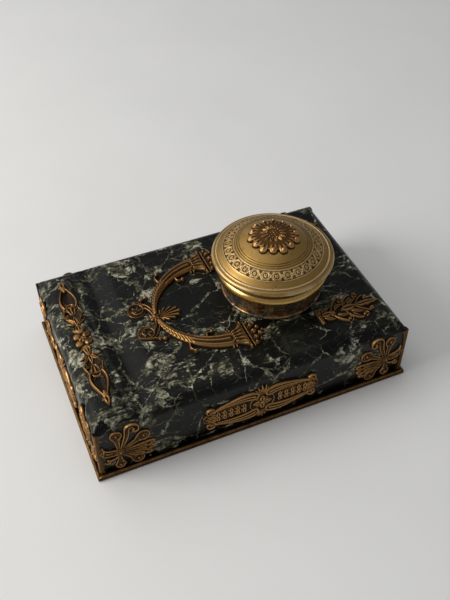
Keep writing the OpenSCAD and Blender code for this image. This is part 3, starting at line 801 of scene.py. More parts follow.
# Radii of the relief band, and how many motifs it has round it
BAND_IN, BAND_OUT = 24.6, 30.8
BAND_MID = (BAND_IN + BAND_OUT) / 2
MOTIFS = 26
# Radius and depth of each turned groove on the dome, and those that are dark with dirt
GROOVES = ((22.4, 0.22), (21.2, 0.12), (17.6, 0.14), (23.6, 0.10))
DIRTY_GROOVES = (22.4, 21.2, 23.6)
PETALS = 14


def lid_line():
    """Outside of the lid from the crown to the rim."""
    c = CROWN
    return np.array([
        [0, c], [4, c - 0.1], [8, c - 0.5], [12, c - 1.2], [16.5, c - 2.6], [20, c - 4.4],
        [23, c - 6.0], [BAND_IN, c - 6.9], [BAND_OUT, c - 10.1]])


def crown_height(r):
    """Height above TOP_H of the lid's outside at a radius."""
    line = lid_line()
    return np.interp(r, line[:, 0], line[:, 1])


def band_relief(angle, profile):
    """Scrolling leaf and flower pattern on the lid's band, with incised lines beside it."""
    r = profile[:, :1]
    outside = (profile[:, 1:] > crown_height(np.minimum(r, BAND_OUT)) - 0.75) & (r < 31.5)
    v = (r - BAND_MID) / ((BAND_OUT - BAND_IN) / 2)
    turn = angle[None, :] * MOTIFS / (2 * math.pi)
    u = (turn - np.floor(turn) - 0.5) * 2
    wide = math.pi * BAND_MID / MOTIFS
    x, y = u * wide, v * (BAND_OUT - BAND_IN) / 2
    rho = np.hypot(x, y)
    spin = np.arctan2(y, x)
    flower = np.clip(1.25 * (1.5 * (0.78 + 0.22 * np.cos(5 * spin)) - rho), 0, 1) * (1 - 0.5 * (rho < 0.45))
    hoop = np.exp(-((rho - 2.05) / 0.3) ** 2)
    ax, ay = wide - np.abs(x), np.abs(y)
    cross = np.abs(ax * 0.94 - ay * 0.72)
    leaf_w = 0.55 + 0.25 * np.cos(ay * 2.4)
    leaf = np.exp(-(cross / leaf_w) ** 2) * (ax < 2.7) * (ay < 2.5)
    notch = 0.75 + 0.25 * np.cos(7.5 * ay)
    fleck = np.clip(np.cos(angle[None, :] * 150) * np.cos(r * 7.2), 0, 1) * 0.25
    inside = smooth((0.97 - np.abs(v)) / 0.08)
    fillet = np.exp(-((np.abs(v) - 1.0) / 0.055) ** 2)
    motif = np.maximum.reduce([flower, 0.8 * hoop, leaf * notch, fleck])
    push = (0.48 * motif - 0.20) * inside + 0.30 * fillet
    for line, deep in GROOVES:
        push = push - deep * np.exp(-((r - line) / 0.22) ** 2)
    push = push * outside
    extra = (1.3 * (motif - 0.45) * inside + 0.5 * fillet) * outside
    for line in DIRTY_GROOVES:
        extra = extra - 0.5 * np.exp(-((r - line) / 0.3) ** 2) * outside
    return push, extra


def lid():
    """The dome with its relief band, stepped rim and hollow inside, as one closed section."""
    c = CROWN
    r = np.concatenate([np.arange(0, 20.9, 0.9), np.arange(21.0, 24.3, 0.2), np.arange(24.3, 31.2, 0.2)])
    dome = np.stack([r, np.where(r > BAND_OUT, c - 10.1 - (r - BAND_OUT) * 0.6, crown_height(r))], 1)
    dome = dome[dome[:, 0] <= 31.2]
    rim = np.vstack([
        [[31.6, c - 10.65], [32.3, c - 11.15], [33.1, c - 11.75], [33.9, c - 12.35], [34.3, c - 12.75]],
        arc(34.9, c - 12.95, 0.55, 110, -20, 8), [[35.5, c - 13.55]],
        arc(35.6, SEAT + 2.2, 2.2, 78, 0, 10) + [0.2, 0], arc(35.6, SEAT + 2.2, 2.2, -4, -76, 8) + [0.2, 0],
        [[35.9, SEAT + 0.02], [30.0, SEAT + 0.02]]])
    inside = [[30.0, c - 11.7], [24.6, c - 8.7], [20, c - 6.3], [16.5, c - 4.4], [12, c - 3.0],
              [8, c - 2.2], [4, c - 1.8], [0, c - 1.8]]
    profile = np.vstack([dome, rim, inside])
    # A rubbed rim, a bright bead on the step above it, and dirt in the groove between the two
    worn = np.full(len(profile), 0.5)
    worn[profile[:, 0] > 37.0] = 0.72
    worn[(profile[:, 0] > 34.4) & (profile[:, 0] < 35.46) & (profile[:, 1] > c - 13.4)] = 1.0
    worn[(profile[:, 0] > 35.46) & (profile[:, 0] < 35.9) & (profile[:, 1] > SEAT + 2)] = 0.3
    lathe("lid_turned", profile[::-1], "lid", LID, "lid_dome", turns=720, wear_and_shade=worn[::-1],
          displace=band_relief)


def lid_rosette():
    """Two ranks of fourteen petals round a seed boss, cut to sit on the crown."""
    r = Relief(-16.4, 16.4, -16.4, 16.4, step=0.2)
    r.disc(0, 0, 13.8, 1.5, "flat")
    for k in range(PETALS):
        out = ray(360 / PETALS * k)
        side = left_of(out)
        reach = 13.7 if k % 2 == 0 else 12.9
        r.stroke([out * 5.0, out * 8.5, out * 11.0, out * reach], lambda s: 0.9 + 2.0 * smooth(s * 1.2),
                 lambda s: 1.0 + 1.1 * smooth(s * 1.2), "groove")
        for g in (-1, 1):
            r.stroke([out * 9 + side * g * 1.1, out * 12.5 + side * g * 1.9, out * reach + side * g * 1.6],
                     (0.5, 0.8), lambda s: 1.5 + 1.0 * s)
        r.disc(*(out * (reach + 0.5)), 1.9, 2.6)
    for k in range(PETALS):
        out = ray(360 / PETALS * (k + 0.5))
        r.leaf([out * 3.5, out * 9.6], 1.35, 2.5)
    r.disc(0, 0, 5.2, 1.0, "flat")
    for k in range(12):
        r.bead(*(4.2 * ray(30 * k)), 1.1, 2.3)
    for k in range(6):
        r.bead(*(2.0 * ray(60 * k)), 0.95, 2.4)
    r.bead(0, 0, 1.1, 2.5)

    def dome(x, y):
        return crown_height(np.hypot(x, y)) + TOP_H

    points, faces, wear_and_shade = r.cut(dome, sink=0.25)
    points[:, 1] += WELL_Y
    piece("lid_rosette_cast", points, faces, "lid", GILT, "lid_rosette", wear_and_shade)


# ---------------------------------------------------------------- base moulding and corner strips

# The moulding: how far out and how high it stands, its flange under the slab, its lift off the ground
# and its gap to the marble
MOULD_OUT, MOULD_H, FLANGE_W, RAIL_LIFT, JOINT_GAP = 2.8, 3.6, 10.0, 0.2, 0.4
# Top of the corner strips
STRIP_TOP = 40.5


def rail_section():
    """Section of a rail: distance out from the marble's face, and height, with the wear at each point."""
    front = np.vstack([
        arc(MOULD_OUT - 0.5, RAIL_LIFT + 0.5, 0.5, -90, 0, 4),
        [[MOULD_OUT, 1.5], [MOULD_OUT - 0.35, 1.75], [MOULD_OUT - 0.35, 2.0]],
        arc(MOULD_OUT - 1.0, MOULD_H - 1.0, 0.95, -15, 90, 8), [[JOINT_GAP, MOULD_H]]])
    section = np.vstack([front, [[JOINT_GAP, SLAB_Z], [-FLANGE_W, SLAB_Z], [-FLANGE_W, RAIL_LIFT]]])
    worn = [0.8] * 5 + [0.55, 0.15, 0.15] + [0.75] * 9 + [0.25] + [0.4] * 3
    return section, worn


def rail(side, edge, dist, turn):
    """A mitred rail along a face dist from the middle, whose half length is edge, turned about Z."""
    section, worn = rail_section()
    steps = 60
    n = len(section)
    points = []
    for k in range(steps + 1):
        s = 2 * k / steps - 1
        for x, z in section:
            points.append([dist + x, s * (edge + x), z])
    points = np.array(points)
    c, s = math.cos(turn), math.sin(turn)
    points = points @ np.array([[c, s, 0], [-s, c, 0], [0, 0, 1]])
    faces = [[k * n + i, k * n + (i + 1) % n, (k + 1) * n + (i + 1) % n, (k + 1) * n + i]
             for k in range(steps) for i in range(n)]
    faces += [list(range(n))[::-1], [steps * n + i for i in range(n)]]
    piece(f"rail_{side}_moulded", points, [f[::-1] for f in faces], "stand", RAIL,
          f"base_rail_{side}", worn * (steps + 1))


def strip_half_width(s):
    """Half-width of a corner strip at 0..1 of its height."""
    return 1.3 + 2.3 * s ** 5 + 1.4 * (1 - s) ** 4


def corner_strip(end, side, sx, sy):
    """A waisted, fluted angle wrapped round an upright corner."""
    low, high = MOULD_H + 0.1, STRIP_TOP
    rows, cols = 90, 28
    top, under, worn = [], [], []
    for j in range(rows + 1):
        s = j / rows
        w = strip_half_width(s)
        z = low + (high - low) * s
        for i in range(cols + 1):
            p = 2 * i / cols - 1
            u = p * w
            z_here = z - 1.2 * abs(p) ** 3 * smooth((s - 0.9) / 0.1)
            turn = math.radians(45 + 45 * max(-1, min(1, u / 0.9)))
            normal = np.array([math.sin(turn), -math.cos(turn)])
            base = np.array([HALF_W - max(0, -u), -HALF_L + max(0, u)])
            edge = min(1, 7 * (1 - abs(p)))
            crest = math.exp(-(p / 0.3) ** 2)
            rim = math.exp(-((abs(p) - 0.82) / 0.16) ** 2)
            h = 0.98 * edge * (0.74 + 0.24 * max(crest, 0.6 * rim))
            top.append([*(base + normal * h), z_here])
            under.append([*(base - normal * 0.2), z_here])
            worn.append(0.44 + 0.34 * crest + 0.2 * rim * edge)
    worn += [0.0] * len(under)
    cast = (np.array(top + under), sheet_faces(cols + 1, rows + 1), np.array(worn))
    place(f"strip_{end}_{side}_cast", f"corner_strip_{end}_{side}", cast,
          [[sx, 0, 0], [0, -sy, 0], [0, 0, 1]], (0, 0, 0), GILT)


# ---------------------------------------------------------------- side mounts

# How far the rosettes lie from a corner, and up; the half lengths of the long and short plaques, how
# far behind the middle the long ones lie, and how far up
ROSETTE_U, ROSETTE_Z = 12.3, 19.0
PLAQUE_A, PLAQUE_END_A, PLAQUE_Y, PLAQUE_Z = 37.5, 22.0, 1.5, 20.5


def petal(r, tip, radius, curl, top=2.0):
    """A teardrop lobe: dark sunken middle, thick rim that winds inward to an eye."""
    tip = np.array(tip, float)
    length = np.hypot(*tip)
    out = tip / length
    side = left_of(out)
    angle = math.degrees(math.atan2(out[1], out[0]))
    neck = out * (length - radius * 1.25)
    r.stroke([out * 1.5, neck], (0.9, 1.7), 0.8, "flat")
    r.disc(tip[0], tip[1], radius - 0.1, 0.8, "flat")
    for g, turn in ((-curl, 300), (curl, 60)):
        start = [out * 3.2 + side * g * 0.7, neck + side * g * 1.25]
        loop = arc(tip[0], tip[1], radius - 0.6, angle + g * 128, angle + g * (128 - turn), 16)
        r.stroke(np.vstack([start, loop]), (0.5, 0.66), top)
    inner = spiral((tip[0], tip[1]), radius - 1.7, 1.2, angle - curl * 250, angle - curl * 420, 12)
    r.stroke(inner, (0.55, 0.55), top - 0.1)
    r.bead(tip[0], tip[1], 1.1, top)


def crook(r):
    """The tall middle lobe: a double rim that leans over like a shepherd's crook, with a ball."""
    outer = np.vstack([bezier((1.1, 3.4), (2.6, 9.0), (4.2, 12.5), (4.3, 17.2), 12),
                       arc(8.6, 18.2, 4.15, 172, -30, 14), [[10.6, 15.4], [9.2, 16.6]]])
    inner = np.vstack([bezier((2.6, 3.4), (5.0, 8.4), (6.6, 12.2), (6.9, 16.4), 12),
                       arc(8.9, 17.8, 1.9, 170, 70, 6)])
    middle = bezier((1.9, 3.4), (3.8, 8.8), (5.5, 12.4), (5.7, 17.4), 12)
    r.stroke(middle, (1.2, 1.8), 0.8, "flat")
    r.disc(8.6, 18.4, 4.3, 0.8, "flat")
    r.stroke(outer, (0.6, 1.0), 2.1)
    r.stroke(inner, (0.5, 0.7), 2.0)
    r.bead(9.8, 18.0, 1.35, 2.2)


def rosette():
    """Anthemion that spreads towards +x, its heart at the origin and +y up."""
    r = Relief(-11.5, 24.0, -16.0, 24.0)
    r.disc(0.4, 0, 3.8, 1.3)
    petal(r, (-0.8, 16.0), 3.9, -1, 2.1)
    crook(r)
    petal(r, (15, 9), 4.3, -1)
    petal(r, (10.6, -11.0), 4.2, 1)
    petal(r, (-0.3, -11.4), 3.5, 1)
    for a in (-28, -13, 2):
        out = ray(a) * (1, 0.85)
        side = left_of(out)
        r.stroke([out * 3, out * 19.6], (0.9, 2.1), 0.85, "flat")
        for g in (-1, 1):
            r.stroke([out * 3 + side * g * 0.5, out * 11 + side * g * 1.2, out * 18.8 + side * g * 1.6,
                      out * 21.2 + side * g * 0.5], (0.5, 0.75), 2.0)
        r.stroke([out * 9, out * 16.0], (0.45, 0.85), 1.9)
        r.bead(*(out * 18.8), 0.9, 2.0)
    r.stroke(bezier((-0.5, -2.4), (-2.6, -5.8), (-5.6, -5.4), (-7.2, -4.0), 10), (0.65, 0.6), 1.9)
    r.stroke(arc(-7.4, -5.8, 1.6, 100, -170, 14), (0.6, 0.6), 1.9)
    r.bead(-7.1, -6.0, 0.8, 1.8)
    r.stroke([(-1.0, 1.3), (-5.6, 1.6), (-8.4, 3.0)], (1.8, 2.9), 0.8, "flat")
    r.stroke(bezier((-1.2, 3.0), (-4.6, 3.6), (-8.6, 4.0), (-9.4, 8.4), 12), (0.65, 0.75), 2.0)
    r.stroke(bezier((-1.4, -0.8), (-4.4, -1.2), (-7.6, -1.2), (-9.9, 1.2), 12), (0.65, 0.65), 1.9)
    r.stroke(bezier((-9.9, 1.2), (-8.4, 3.2), (-8.6, 6.0), (-9.6, 8.4), 10), (0.6, 0.6), 1.8)
    r.stroke([(-2.6, 1.4), (-7.4, 2.6)], (0.5, 0.9), 1.7)
    r.ring(0.5, 0.2, 2.1, 0.55, 2.0)
    r.bead(0.5, 0.2, 1.2, r.TALL)
    r.stipple(0.6, 1.0)
    return r.cut()


def plaque(a):
    """A plaque of half length a: medallion, palmettes, swelling leaves, husks and four scrolls."""
    r = Relief(-a - 0.5, a + 0.5, -16, 16, fold_x=True, fold_y=True)
    k = a / PLAQUE_A
    r.stroke([(0, 0), (a - 3.4, 0)], (5.6, 4.4), 0.9, "flat")
    leaf = bezier((5.0, 7.4), (0.34 * a, 10.8), (0.62 * a, 7.2), (0.88 * a, 5.6), 18)
    r.stroke(leaf, lambda s: 3.9 - 2.5 * smooth(s * 1.15), 2.05, "reed")
    edge = leaf + np.array([0, 2.9]) * (1 - np.linspace(0, 1, 19)[:, None]) ** 0.8
    r.stroke(edge, (0.95, 0.8), 2.2)
    inner = leaf - np.array([0, 2.6]) * (1 - np.linspace(0, 1, 19)[:, None]) ** 0.7
    r.stroke(inner, (0.55, 0.5), 1.8)
    r.scroll(a - 4.0, 6.3, 3.9, 150, -360, half=1.0, top=2.1, eye=1.1)
    r.stroke([(0.80 * a, 6.2), (a - 6.4, 4.6)], (1.1, 0.9), 1.8)
    count = max(2, int(round(5 * k)))
    for m in range(count):
        x = 11.4 + 4.2 * m
        if x < a - 8:
            r.leaf([(x, 0.2), (x + 0.5, 4.7)], 1.75, 2.1)
            r.stroke([(x, 0), (x + 2.6, 0)], (1.4, 0.8), 2.0)
            r.leaf([(x + 0.6, 1.2), (x + 2.9, 4.0)], 1.0, 1.9)
    root = np.array([a - 8.8, 0.3])
    for g in (0.0, 27.0, 54.0):
        r.leaf([root, root + ray(g) * (8.6, 5.6)], 1.5, 2.1)
    r.disc(0, 0, 8.6, 1.0, "flat")
    r.ring(0, 0, 7.9, 0.8, 2.15)
    r.ring(0, 0, 5.9, 0.45, 1.7)
    r.leaf([(0, 0.6), (0, 6.8)], 2.2, 2.2)
    r.leaf([(0.6, 0), (6.8, 0)], 2.2, 2.1)
    r.leaf([(1.0, 1.0), (4.6, 4.6)], 1.2, 1.8)
    r.bead(0, 0, 1.8, r.TALL)
    for g, reach, half in ((90, 7.4, 1.35), (66, 7.0, 1.2), (44, 6.2, 1.15), (22, 5.0, 1.0)):
        foot = np.array([0.5 * ray(g)[0], 7.8])
        r.leaf([foot, foot + ray(g) * reach], half, 2.15)
    r.stipple(0.75, 1.1)
    return r.cut()


def side_mounts():
    """The same castings on the long faces and the front; the back face has none."""
    cast = rosette()
    for side, sx in (("right", 1), ("left", -1)):
        for end, sy in (("front", -1), ("back", 1)):
            node = f"rosette_{side}_{end}"
            offset = (sx * HALF_W, sy * (HALF_L - ROSETTE_U), ROSETTE_Z)
            place(node + "_cast", node, cast, [[0, 0, sx], [-sy, 0, 0], [0, 1, 0]], offset, GILT)
        node = f"rosette_front_{side}"
        offset = (sx * (HALF_W - ROSETTE_U), -HALF_L, ROSETTE_Z)
        place(node + "_cast", node, cast, [[-sx, 0, 0], [0, 0, -1], [0, 1, 0]], offset, GILT)
    cast = plaque(PLAQUE_A)
    for side, sx in (("right", 1), ("left", -1)):
        node = f"plaque_{side}"
        offset = (sx * HALF_W, PLAQUE_Y, PLAQUE_Z)
        place(node + "_cast", node, cast, [[0, 0, sx], [1, 0, 0], [0, 1, 0]], offset, GILT)
    place("plaque_front_cast", "plaque_front", plaque(PLAQUE_END_A), [[1, 0, 0], [0, 0, -1], [0, 1, 0]],
          (0, -HALF_L, PLAQUE_Z), GILT)


# ---------------------------------------------------------------- top mounts

GARLAND_Y = -HALF_L + 13.5
# Radius round the well's axis that the horns' fruit keeps out of
WELL_CLEAR_R = 32.9
FLAT = [[1, 0, 0], [0, 1, 0], [0, 0, 1]]
MIRRORED = [[-1, 0, 0], [0, 1, 0], [0, 0, 1]]


def garland():
    """Openwork garland: rosette, buds, palmettes with side scrolls, open loops and finials."""
    r = Relief(-53.5, 53.5, -6.4, 6.4, fold_x=True, fold_y=True)
    r.stroke([(0, 0), (28, 0)], (2.2, 1.8), 0.9, "flat")
    r.disc(2.9, 2.7, 3.0, 2.4)
    r.disc(0, 0, 3.2, 2.7, petals=4)
    r.bead(0, 0, 1.2, 3.1)
    r.disc(7.0, 0, 2.6, 2.1)
    r.leaf([(5.6, 0.6), (9.6, 4.4)], 1.2, 2.0)
    r.stroke([(8.6, 0), (12.2, 0)], (2.9, 1.6), 2.3, "reed")
    r.ring(12.6, 0, 0.5, 0.9, 2.7)
    r.leaf([(12.5, 0), (21.4, 0)], 1.8, 2.4)
    r.leaf(bezier((12.8, 0.4), (15, 1.2), (17.8, 3.0), (20.4, 5.9), 10), 1.5, 2.4)
    r.leaf(bezier((12.8, 1.0), (13.8, 2.2), (14.8, 3.6), (15.2, 6.0), 10), 1.25, 2.1)
    r.stroke([(14, 0), (24, 0)], (2.2, 3.4), 0.8, "flat")
    r.scroll(21.6, 3.9, 2.4, 200, -330, half=0.8, top=2.4, eye=0.9)
    r.stroke(bezier((21, 5.8), (24, 5.6), (25.6, 4.0), (27.4, 4.4), 10), (0.9, 1.0), 2.3)
    r.stroke([(23.2, 0), (28.2, 0)], (2.4, 4.0), 2.2, "reed")
    r.stroke([(28.2, 0), (28.2, 4.4)], (1.1, 1.0), 2.8, pitch=-1.7)
    r.leaf([(25.0, 1.6), (27.6, 5.6)], 1.1, 2.5)
    r.stroke([(29, 0), (41, 0)], (3.4, 1.0), 0.5, "flat")
    r.stroke(bezier((28, 3.6), (34, 6.6), (40, 3.2), (45.5, 1.2), 18), lambda s: 1.5 - 0.35 * s, 2.8)
    r.stroke(bezier((29.4, 2.4), (33, 3.6), (38, 2.4), (43.0, 0.6), 14), (0.5, 0.4), 1.4)
    r.scroll(31.4, 2.9, 1.9, 250, 300, half=0.65, top=2.4, eye=0.8)
    r.stroke([(43.2, 0), (46.0, 0)], (1.7, 2.5), 2.7)
    r.ring(46.2, 0, 0.6, 1.0, 3.0)
    r.leaf([(45.8, 0), (49.6, 0), (53.4, 0)], 2.3, 2.9)
    r.leaf([(46.6, 0.6), (49.0, 2.9)], 0.9, 2.3)

    def ground(x, y):
        return slab_top(x, y + GARLAND_Y) - TOP_H

    tallest = 3.15
    limit = tallest - ground(r.gx, r.gy)
    r.h = np.where(r.h > 0, np.minimum(r.h * np.clip(limit / tallest, 0.5, 1), limit), r.h)
    place("garland_cast", "ridge_garland", r.cut(ground), FLAT, (0, GARLAND_Y, TOP_H), AGED)


def clasp():
    """Flower clasp of the wreath with its palmette leaf, C-scrolls and tail buds."""
    r = Relief(-21, 21, -56.5, -22.8, fold_x=True)
    eye = np.array([10.0, -49.5])
    r.disc(*eye, 6.0, 0.7, "flat")
    for m in range(5):
        out = ray(200 + 62 * m)
        r.leaf([eye + out * 0.6, eye + out * 4.6], 1.0, 1.5, veins=1.1)
    r.stroke(spiral(eye, 5.5, 2.2, -50, 330, 34), (0.95, 0.7), 2.2)
    r.bead(8.4, -50.6, 1.1, 2.2)
    r.stroke(bezier((1.2, -41.4), (5, -41.8), (7.6, -42.2), (9.6, -44.4), 12), (0.9, 1.0), 2.2)
    r.stroke(bezier((13.6, -53.6), (15.8, -51.4), (15.4, -47), (17.9, -42.4), 14), (1.0, 0.9), 2.1)
    r.stroke(bezier((3.4, -40.6), (9, -40.0), (12.4, -42.2), (15.4, -46.4), 14), (0.7, 0.7), 1.8)
    r.bead(18.6, -40.9, 1.9, 2.4)
    r.leaf([(15.6, -45.0), (19.2, -43.4)], 0.9, 1.7, veins=1.1)
    heart = np.array([0.0, -38.2])
    lobes = ((90, 14.4, 1.5), (70, 13.8, 1.35), (52, 12.2, 1.25), (34, 10.0, 1.2), (16, 7.4, 1.1))
    for a, reach, half in lobes:
        out = ray(a) * (0.70, 1)
        r.stroke([heart + out, heart + out * (reach - half)], (0.55, half), lambda s: 1.4 + 0.8 * s)
    r.stroke([heart + (0, 0.5), heart + (0, 9.0)], (1.6, 3.6), 0.7, "flat")
    r.disc(0, -41, 3.7, 2.3, petals=6)
    r.bead(0, -41, 1.5, 3.1)
    r.leaf([(0, -43.4), (0, -46.6)], 1.0, 1.6, veins=1.1)
    place("clasp_cast", "wreath_clasp", r.cut(), FLAT, (0, 0, TOP_H), AGED)


def horn():
    """Horn of plenty: leafy root, fluted body, beaded neck, flared leafy mouth, rim and fruit."""
    r = Relief(2.5, 47.5, -43.5, 17.0)
    path = bezier((3.0, -39.6), (18, -37.5), (33, -24), (35, -6), 26)

    def half(s):
        return 1.7 + 4.3 * s

    def body(s):
        return 2.1 + 1.1 * s

    r.stroke(path, half, body)
    near, away, s, side, total = r.along(path, 8)
    w = half(s)
    t = away / w * side
    inside = away < w * 0.97
    leafy = smooth((0.62 - s) / 0.12)
    flutes = 0.42 * np.cos(2 * math.pi * t * 1.75) * smooth((s - 0.52) / 0.08)
    veins = 0.34 * np.cos(math.pi * (s * total - 1.6 * away) / 1.15) * leafy * np.clip(np.abs(t) * 2.5, 0, 1)
    spine = 0.35 * np.exp(-(t / 0.16) ** 2) * leafy
    fresh = r.h[near] + np.where(inside, (flutes + veins + spine) * np.clip(2.2 * (1 - np.abs(t)), 0, 1), 0)
    r.h[near] = np.where(r.h[near] > 0, fresh, r.h[near])
    buds = (((27.6, -28.6), (32.4, -30.2), (35.2, -27.6)), ((27.6, -17.4), (24.4, -17.0), (24.6, -13.4)))
    for start, bend, tip in buds:
        r.stroke(bezier(start, bend, bend, tip, 10), (1.3, 0.95), 2.2)
        r.bead(*tip, 1.75, 2.7)
    r.stroke([(28.4, -5.9), (41.6, -5.9)], (0.95, 0.95), 4.0)
    r.stroke([(28.4, -3.9), (41.6, -3.9)], (0.95, 0.95), 4.5, pitch=-1.6)
    x, y = r.x, r.y
    s = (y + 3.5) / 7.0
    flare = 6.0 + 4.2 * np.clip(s, 0, 1) ** 1.6
    u = (x - 35.0) / flare
    cup = 3.2 + 0.6 * s + 0.45 * np.cos(2 * math.pi * u * 3.0) - 0.8 * u ** 2
    curl = 0.5 * np.cos(math.pi * (y + 3.5) / 2.2 - 3 * np.abs(u))
    cup = np.where((s > 0) & (s < 1), np.minimum(cup + 0.3 * curl, 2.4 * (flare - np.abs(x - 35))), -1)
    r.h = np.maximum(r.h, cup)
    r.stroke([(24.4, 4.0), (45.6, 4.0)], (1.25, 1.25), 5.0, "groove")
    r.stroke([(25.0, 6.4), (45.0, 6.4)], (0.8, 0.8), 3.6, pitch=-1.9)
    fruit = ((26.8, 8.2, 1.9, 3.2), (30.4, 9.0, 2.5, 4.0), (35.2, 9.4, 2.8, 4.0), (40.0, 9.0, 2.5, 4.0),
             (43.4, 8.2, 1.9, 3.2), (32.4, 12.6, 2.2, 3.4), (37.4, 12.8, 2.4, 3.4), (35.0, 15.0, 1.5, 2.6),
             (28.4, 12.0, 1.4, 2.4), (41.4, 12.0, 1.4, 2.4))
    for fx, fy, fr, top in fruit:
        r.disc(fx, fy, fr, top, petals=5 if fr > 2.3 else 0)
        r.bead(fx, fy, 0.7, top * 0.98)
    r.stroke([(27.5, 8), (42.5, 8)], (2.6, 2.6), 1.4, "flat")
    r.stroke([(32.0, 11), (38.0, 11)], (3.2, 3.2), 1.2, "flat")
    clear = np.hypot(x, y - WELL_Y) - WELL_CLEAR_R
    r.h = np.minimum(r.h, clear * 3)
    cast = r.cut()
    place("horn_right_cast", "horn_right", cast, FLAT, (0, 0, TOP_H), AGED)
    place("horn_left_cast", "horn_left", cast, MIRRORED, (0, 0, TOP_H), AGED)


def palmettes():
    """Bouquet tied at a bar: bud, side lobes, scrolls, diamond centre and a pointed leaf."""
    r = Relief(-11.4, 11.4, -2.2, 41.6, fold_x=True)
    r.stroke([(0, 0), (5.2, 0)], (1.6, 1.5), 2.5, "groove")
    r.stroke([(0, 4), (0, 16), (0, 33)], lambda s: 2.6 + 2.6 * np.sin(math.pi * s), 0.6, "flat")
    r.disc(0, 8.0, 3.2, 2.2, petals=5)
    r.leaf([(0, 1.5), (0, 9.6)], 2.6, 2.5)
    r.leaf(bezier((0.8, 2), (3.2, 3.6), (4.6, 6.4), (5.0, 9.4), 10), 1.6, 2.2)
    r.stroke(bezier((0, 8), (4, 9.6), (7.4, 11.4), (9.4, 15.2), 14), (1.1, 1.2), 2.3, "groove")
    r.scroll(7.9, 17.4, 2.9, 10, 330, half=0.95, top=2.4, eye=1.1)
    r.leaf(bezier((1.4, 11), (4.0, 12.6), (5.0, 15.6), (4.4, 19.6), 12), 1.5, 2.2)
    r.stroke(bezier((0, 17), (5, 17.6), (9.2, 20), (10.0, 25), 16), (1.1, 1.1), 2.3, "groove")
    r.scroll(8.1, 27.8, 2.9, 0, 330, half=0.95, top=2.4, eye=1.1)
    r.leaf(bezier((1.2, 20), (3.6, 21.6), (5.4, 24.6), (5.4, 29), 12), 1.7, 2.4)
    r.leaf(bezier((3.4, 20.4), (6.0, 21.6), (7.4, 23), (7.8, 25.4), 12), 0.9, 1.9)
    r.stroke(bezier((0, 24), (3, 27), (6.2, 29.6), (6.4, 32.4), 14), (1.0, 0.95), 2.2)
    r.scroll(4.8, 33.8, 2.1, 0, 330, half=0.8, top=2.2, eye=0.85)
    r.leaf([(0, 15.0), (0, 21), (0, 26.0)], 3.1, 2.9)
    r.leaf([(0, 24), (0, 34), (0, 41.5)], 2.7, 2.6, lobes=4)
    cast = r.cut()
    x0 = centre("palmette_right")[0]
    y0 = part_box("palmette_right")[0][1] / MM + 1.75
    place("palmette_right_cast", "palmette_right", cast, FLAT, (x0, y0, TOP_H), AGED)
    place("palmette_left_cast", "palmette_left", cast, MIRRORED, (-x0, y0, TOP_H), AGED)


# ---------------------------------------------------------------- felt and fixings

def felt_pad():
    """Felt under the slab, its underside a little uneven."""
    low, high = (np.array(corner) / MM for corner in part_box("felt_pad"))
    nx, ny = 44, 72
    rough, gap = 0.12, 0.02
    rng = np.random.default_rng(7)
    gx, gy = np.meshgrid(np.linspace(low[0], high[0], nx), np.linspace(low[1], high[1], ny))
    fuzz = np.abs(blur(rng.standard_normal(gx.shape), 1.0))
    upper = np.stack([gx, gy, np.full(gx.shape, high[2] - gap)], 2).reshape(-1, 3)
    under = np.stack([gx, gy, low[2] + rough * fuzz / fuzz.max()], 2).reshape(-1, 3)
    obj = piece("felt_sheet", np.vstack([upper, under]), sheet_faces(nx, ny), "stand", FELT,
                "felt_pad")


def fixings():
    """The hidden fixings keep their CAD shape, in plain brass."""
    for node in ("side_mount_pins", "top_mount_pins", "well_bolt", "well_washer", "well_nut",
                 "rosette_screw", "rosette_washer"):
        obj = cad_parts[node]
        for slot in obj.material_slots:
            slot.material = HARDWARE
        if not obj.material_slots:
            obj.data.materials.append(HARDWARE)


# ---------------------------------------------------------------- camera, light, floor

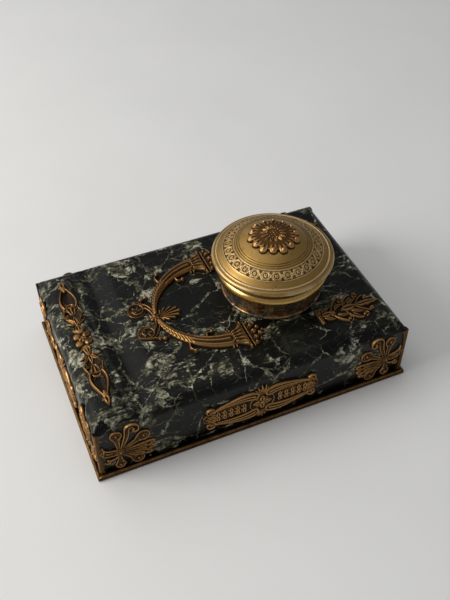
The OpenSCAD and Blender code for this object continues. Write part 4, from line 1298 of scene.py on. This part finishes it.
def camera():
    """Camera over the near long side, a little towards the trough, looking 45 degrees down."""
    data = bpy.data.cameras.new("camera")
    data.lens = 47.199
    data.sensor_width = 36
    data.clip_start = 0.01
    obj = bpy.data.objects.new("camera", data)
    bpy.context.scene.collection.objects.link(obj)
    obj.location = (0.3225, -0.1305, 0.3978)
    turn, tilt, roll = math.radians(22.907), math.radians(45.328), math.radians(-0.358)
    look = Vector((-math.cos(turn) * math.cos(tilt), math.sin(turn) * math.cos(tilt), -math.sin(tilt)))
    facing = look.to_track_quat("-Z", "Y").to_matrix() @ Matrix.Rotation(roll, 3, "Z")
    obj.rotation_euler = facing.to_euler()
    bpy.context.scene.camera = obj


def area_light(name, at, aim, size, power, colour):
    """A soft rectangular light at a place, aimed at another."""
    data = bpy.data.lights.new(name, "AREA")
    data.shape = "RECTANGLE"
    data.size, data.size_y = size
    data.energy = power
    data.color = colour
    obj = bpy.data.objects.new(name, data)
    bpy.context.scene.collection.objects.link(obj)
    obj.location = at
    obj.rotation_euler = (Vector(aim) - Vector(at)).to_track_quat("-Z", "Y").to_euler()


def stage():
    """Pale floor, soft surroundings and three soft lights."""
    mesh = bpy.data.meshes.new("floor")
    reach = 6.0
    mesh.from_pydata([(-reach, -reach, 0), (reach, -reach, 0), (reach, reach, 0), (-reach, reach, 0)],
                     [], [[0, 1, 2, 3]])
    mesh.materials.append(floor_material())
    floor = bpy.data.objects.new("floor", mesh)
    bpy.context.scene.collection.objects.link(floor)
    world = bpy.data.worlds.new("studio")
    bpy.context.scene.world = world
    world.use_nodes = True
    background = world.node_tree.nodes["Background"]
    background.inputs["Color"].default_value = (0.95, 0.97, 1.0, 1)
    background.inputs["Strength"].default_value = 0.29
    area_light("window", (-0.22, -1.18, 0.72), (0, 0, 0.02), (0.8, 0.65), 15.0, (1.0, 0.985, 0.955))
    area_light("ceiling", (-0.25, -0.35, 1.65), (0, 0, 0), (1.6, 1.6), 6.0, (1.0, 0.995, 0.975))
    area_light("bright_wall", (-1.35, -0.55, 1.05), (0, 0, 0.02), (1.5, 1.2), 5.0, (1.0, 0.99, 0.97))
    bpy.context.scene.view_settings.view_transform = "Standard"


marble_slab()
well()
lid()
lid_rosette()
rail("front", HALF_W, HALF_L, -math.pi / 2)
rail("back", HALF_W, HALF_L, math.pi / 2)
rail("right", HALF_L, HALF_W, 0.0)
rail("left", HALF_L, HALF_W, math.pi)
for end, sy in (("front", -1), ("back", 1)):
    for side, sx in (("left", -1), ("right", 1)):
        corner_strip(end, side, sx, sy)
side_mounts()
garland()
clasp()
horn()
palmettes()
felt_pad()
fixings()
camera()
stage()

bpy.context.view_layer.update()
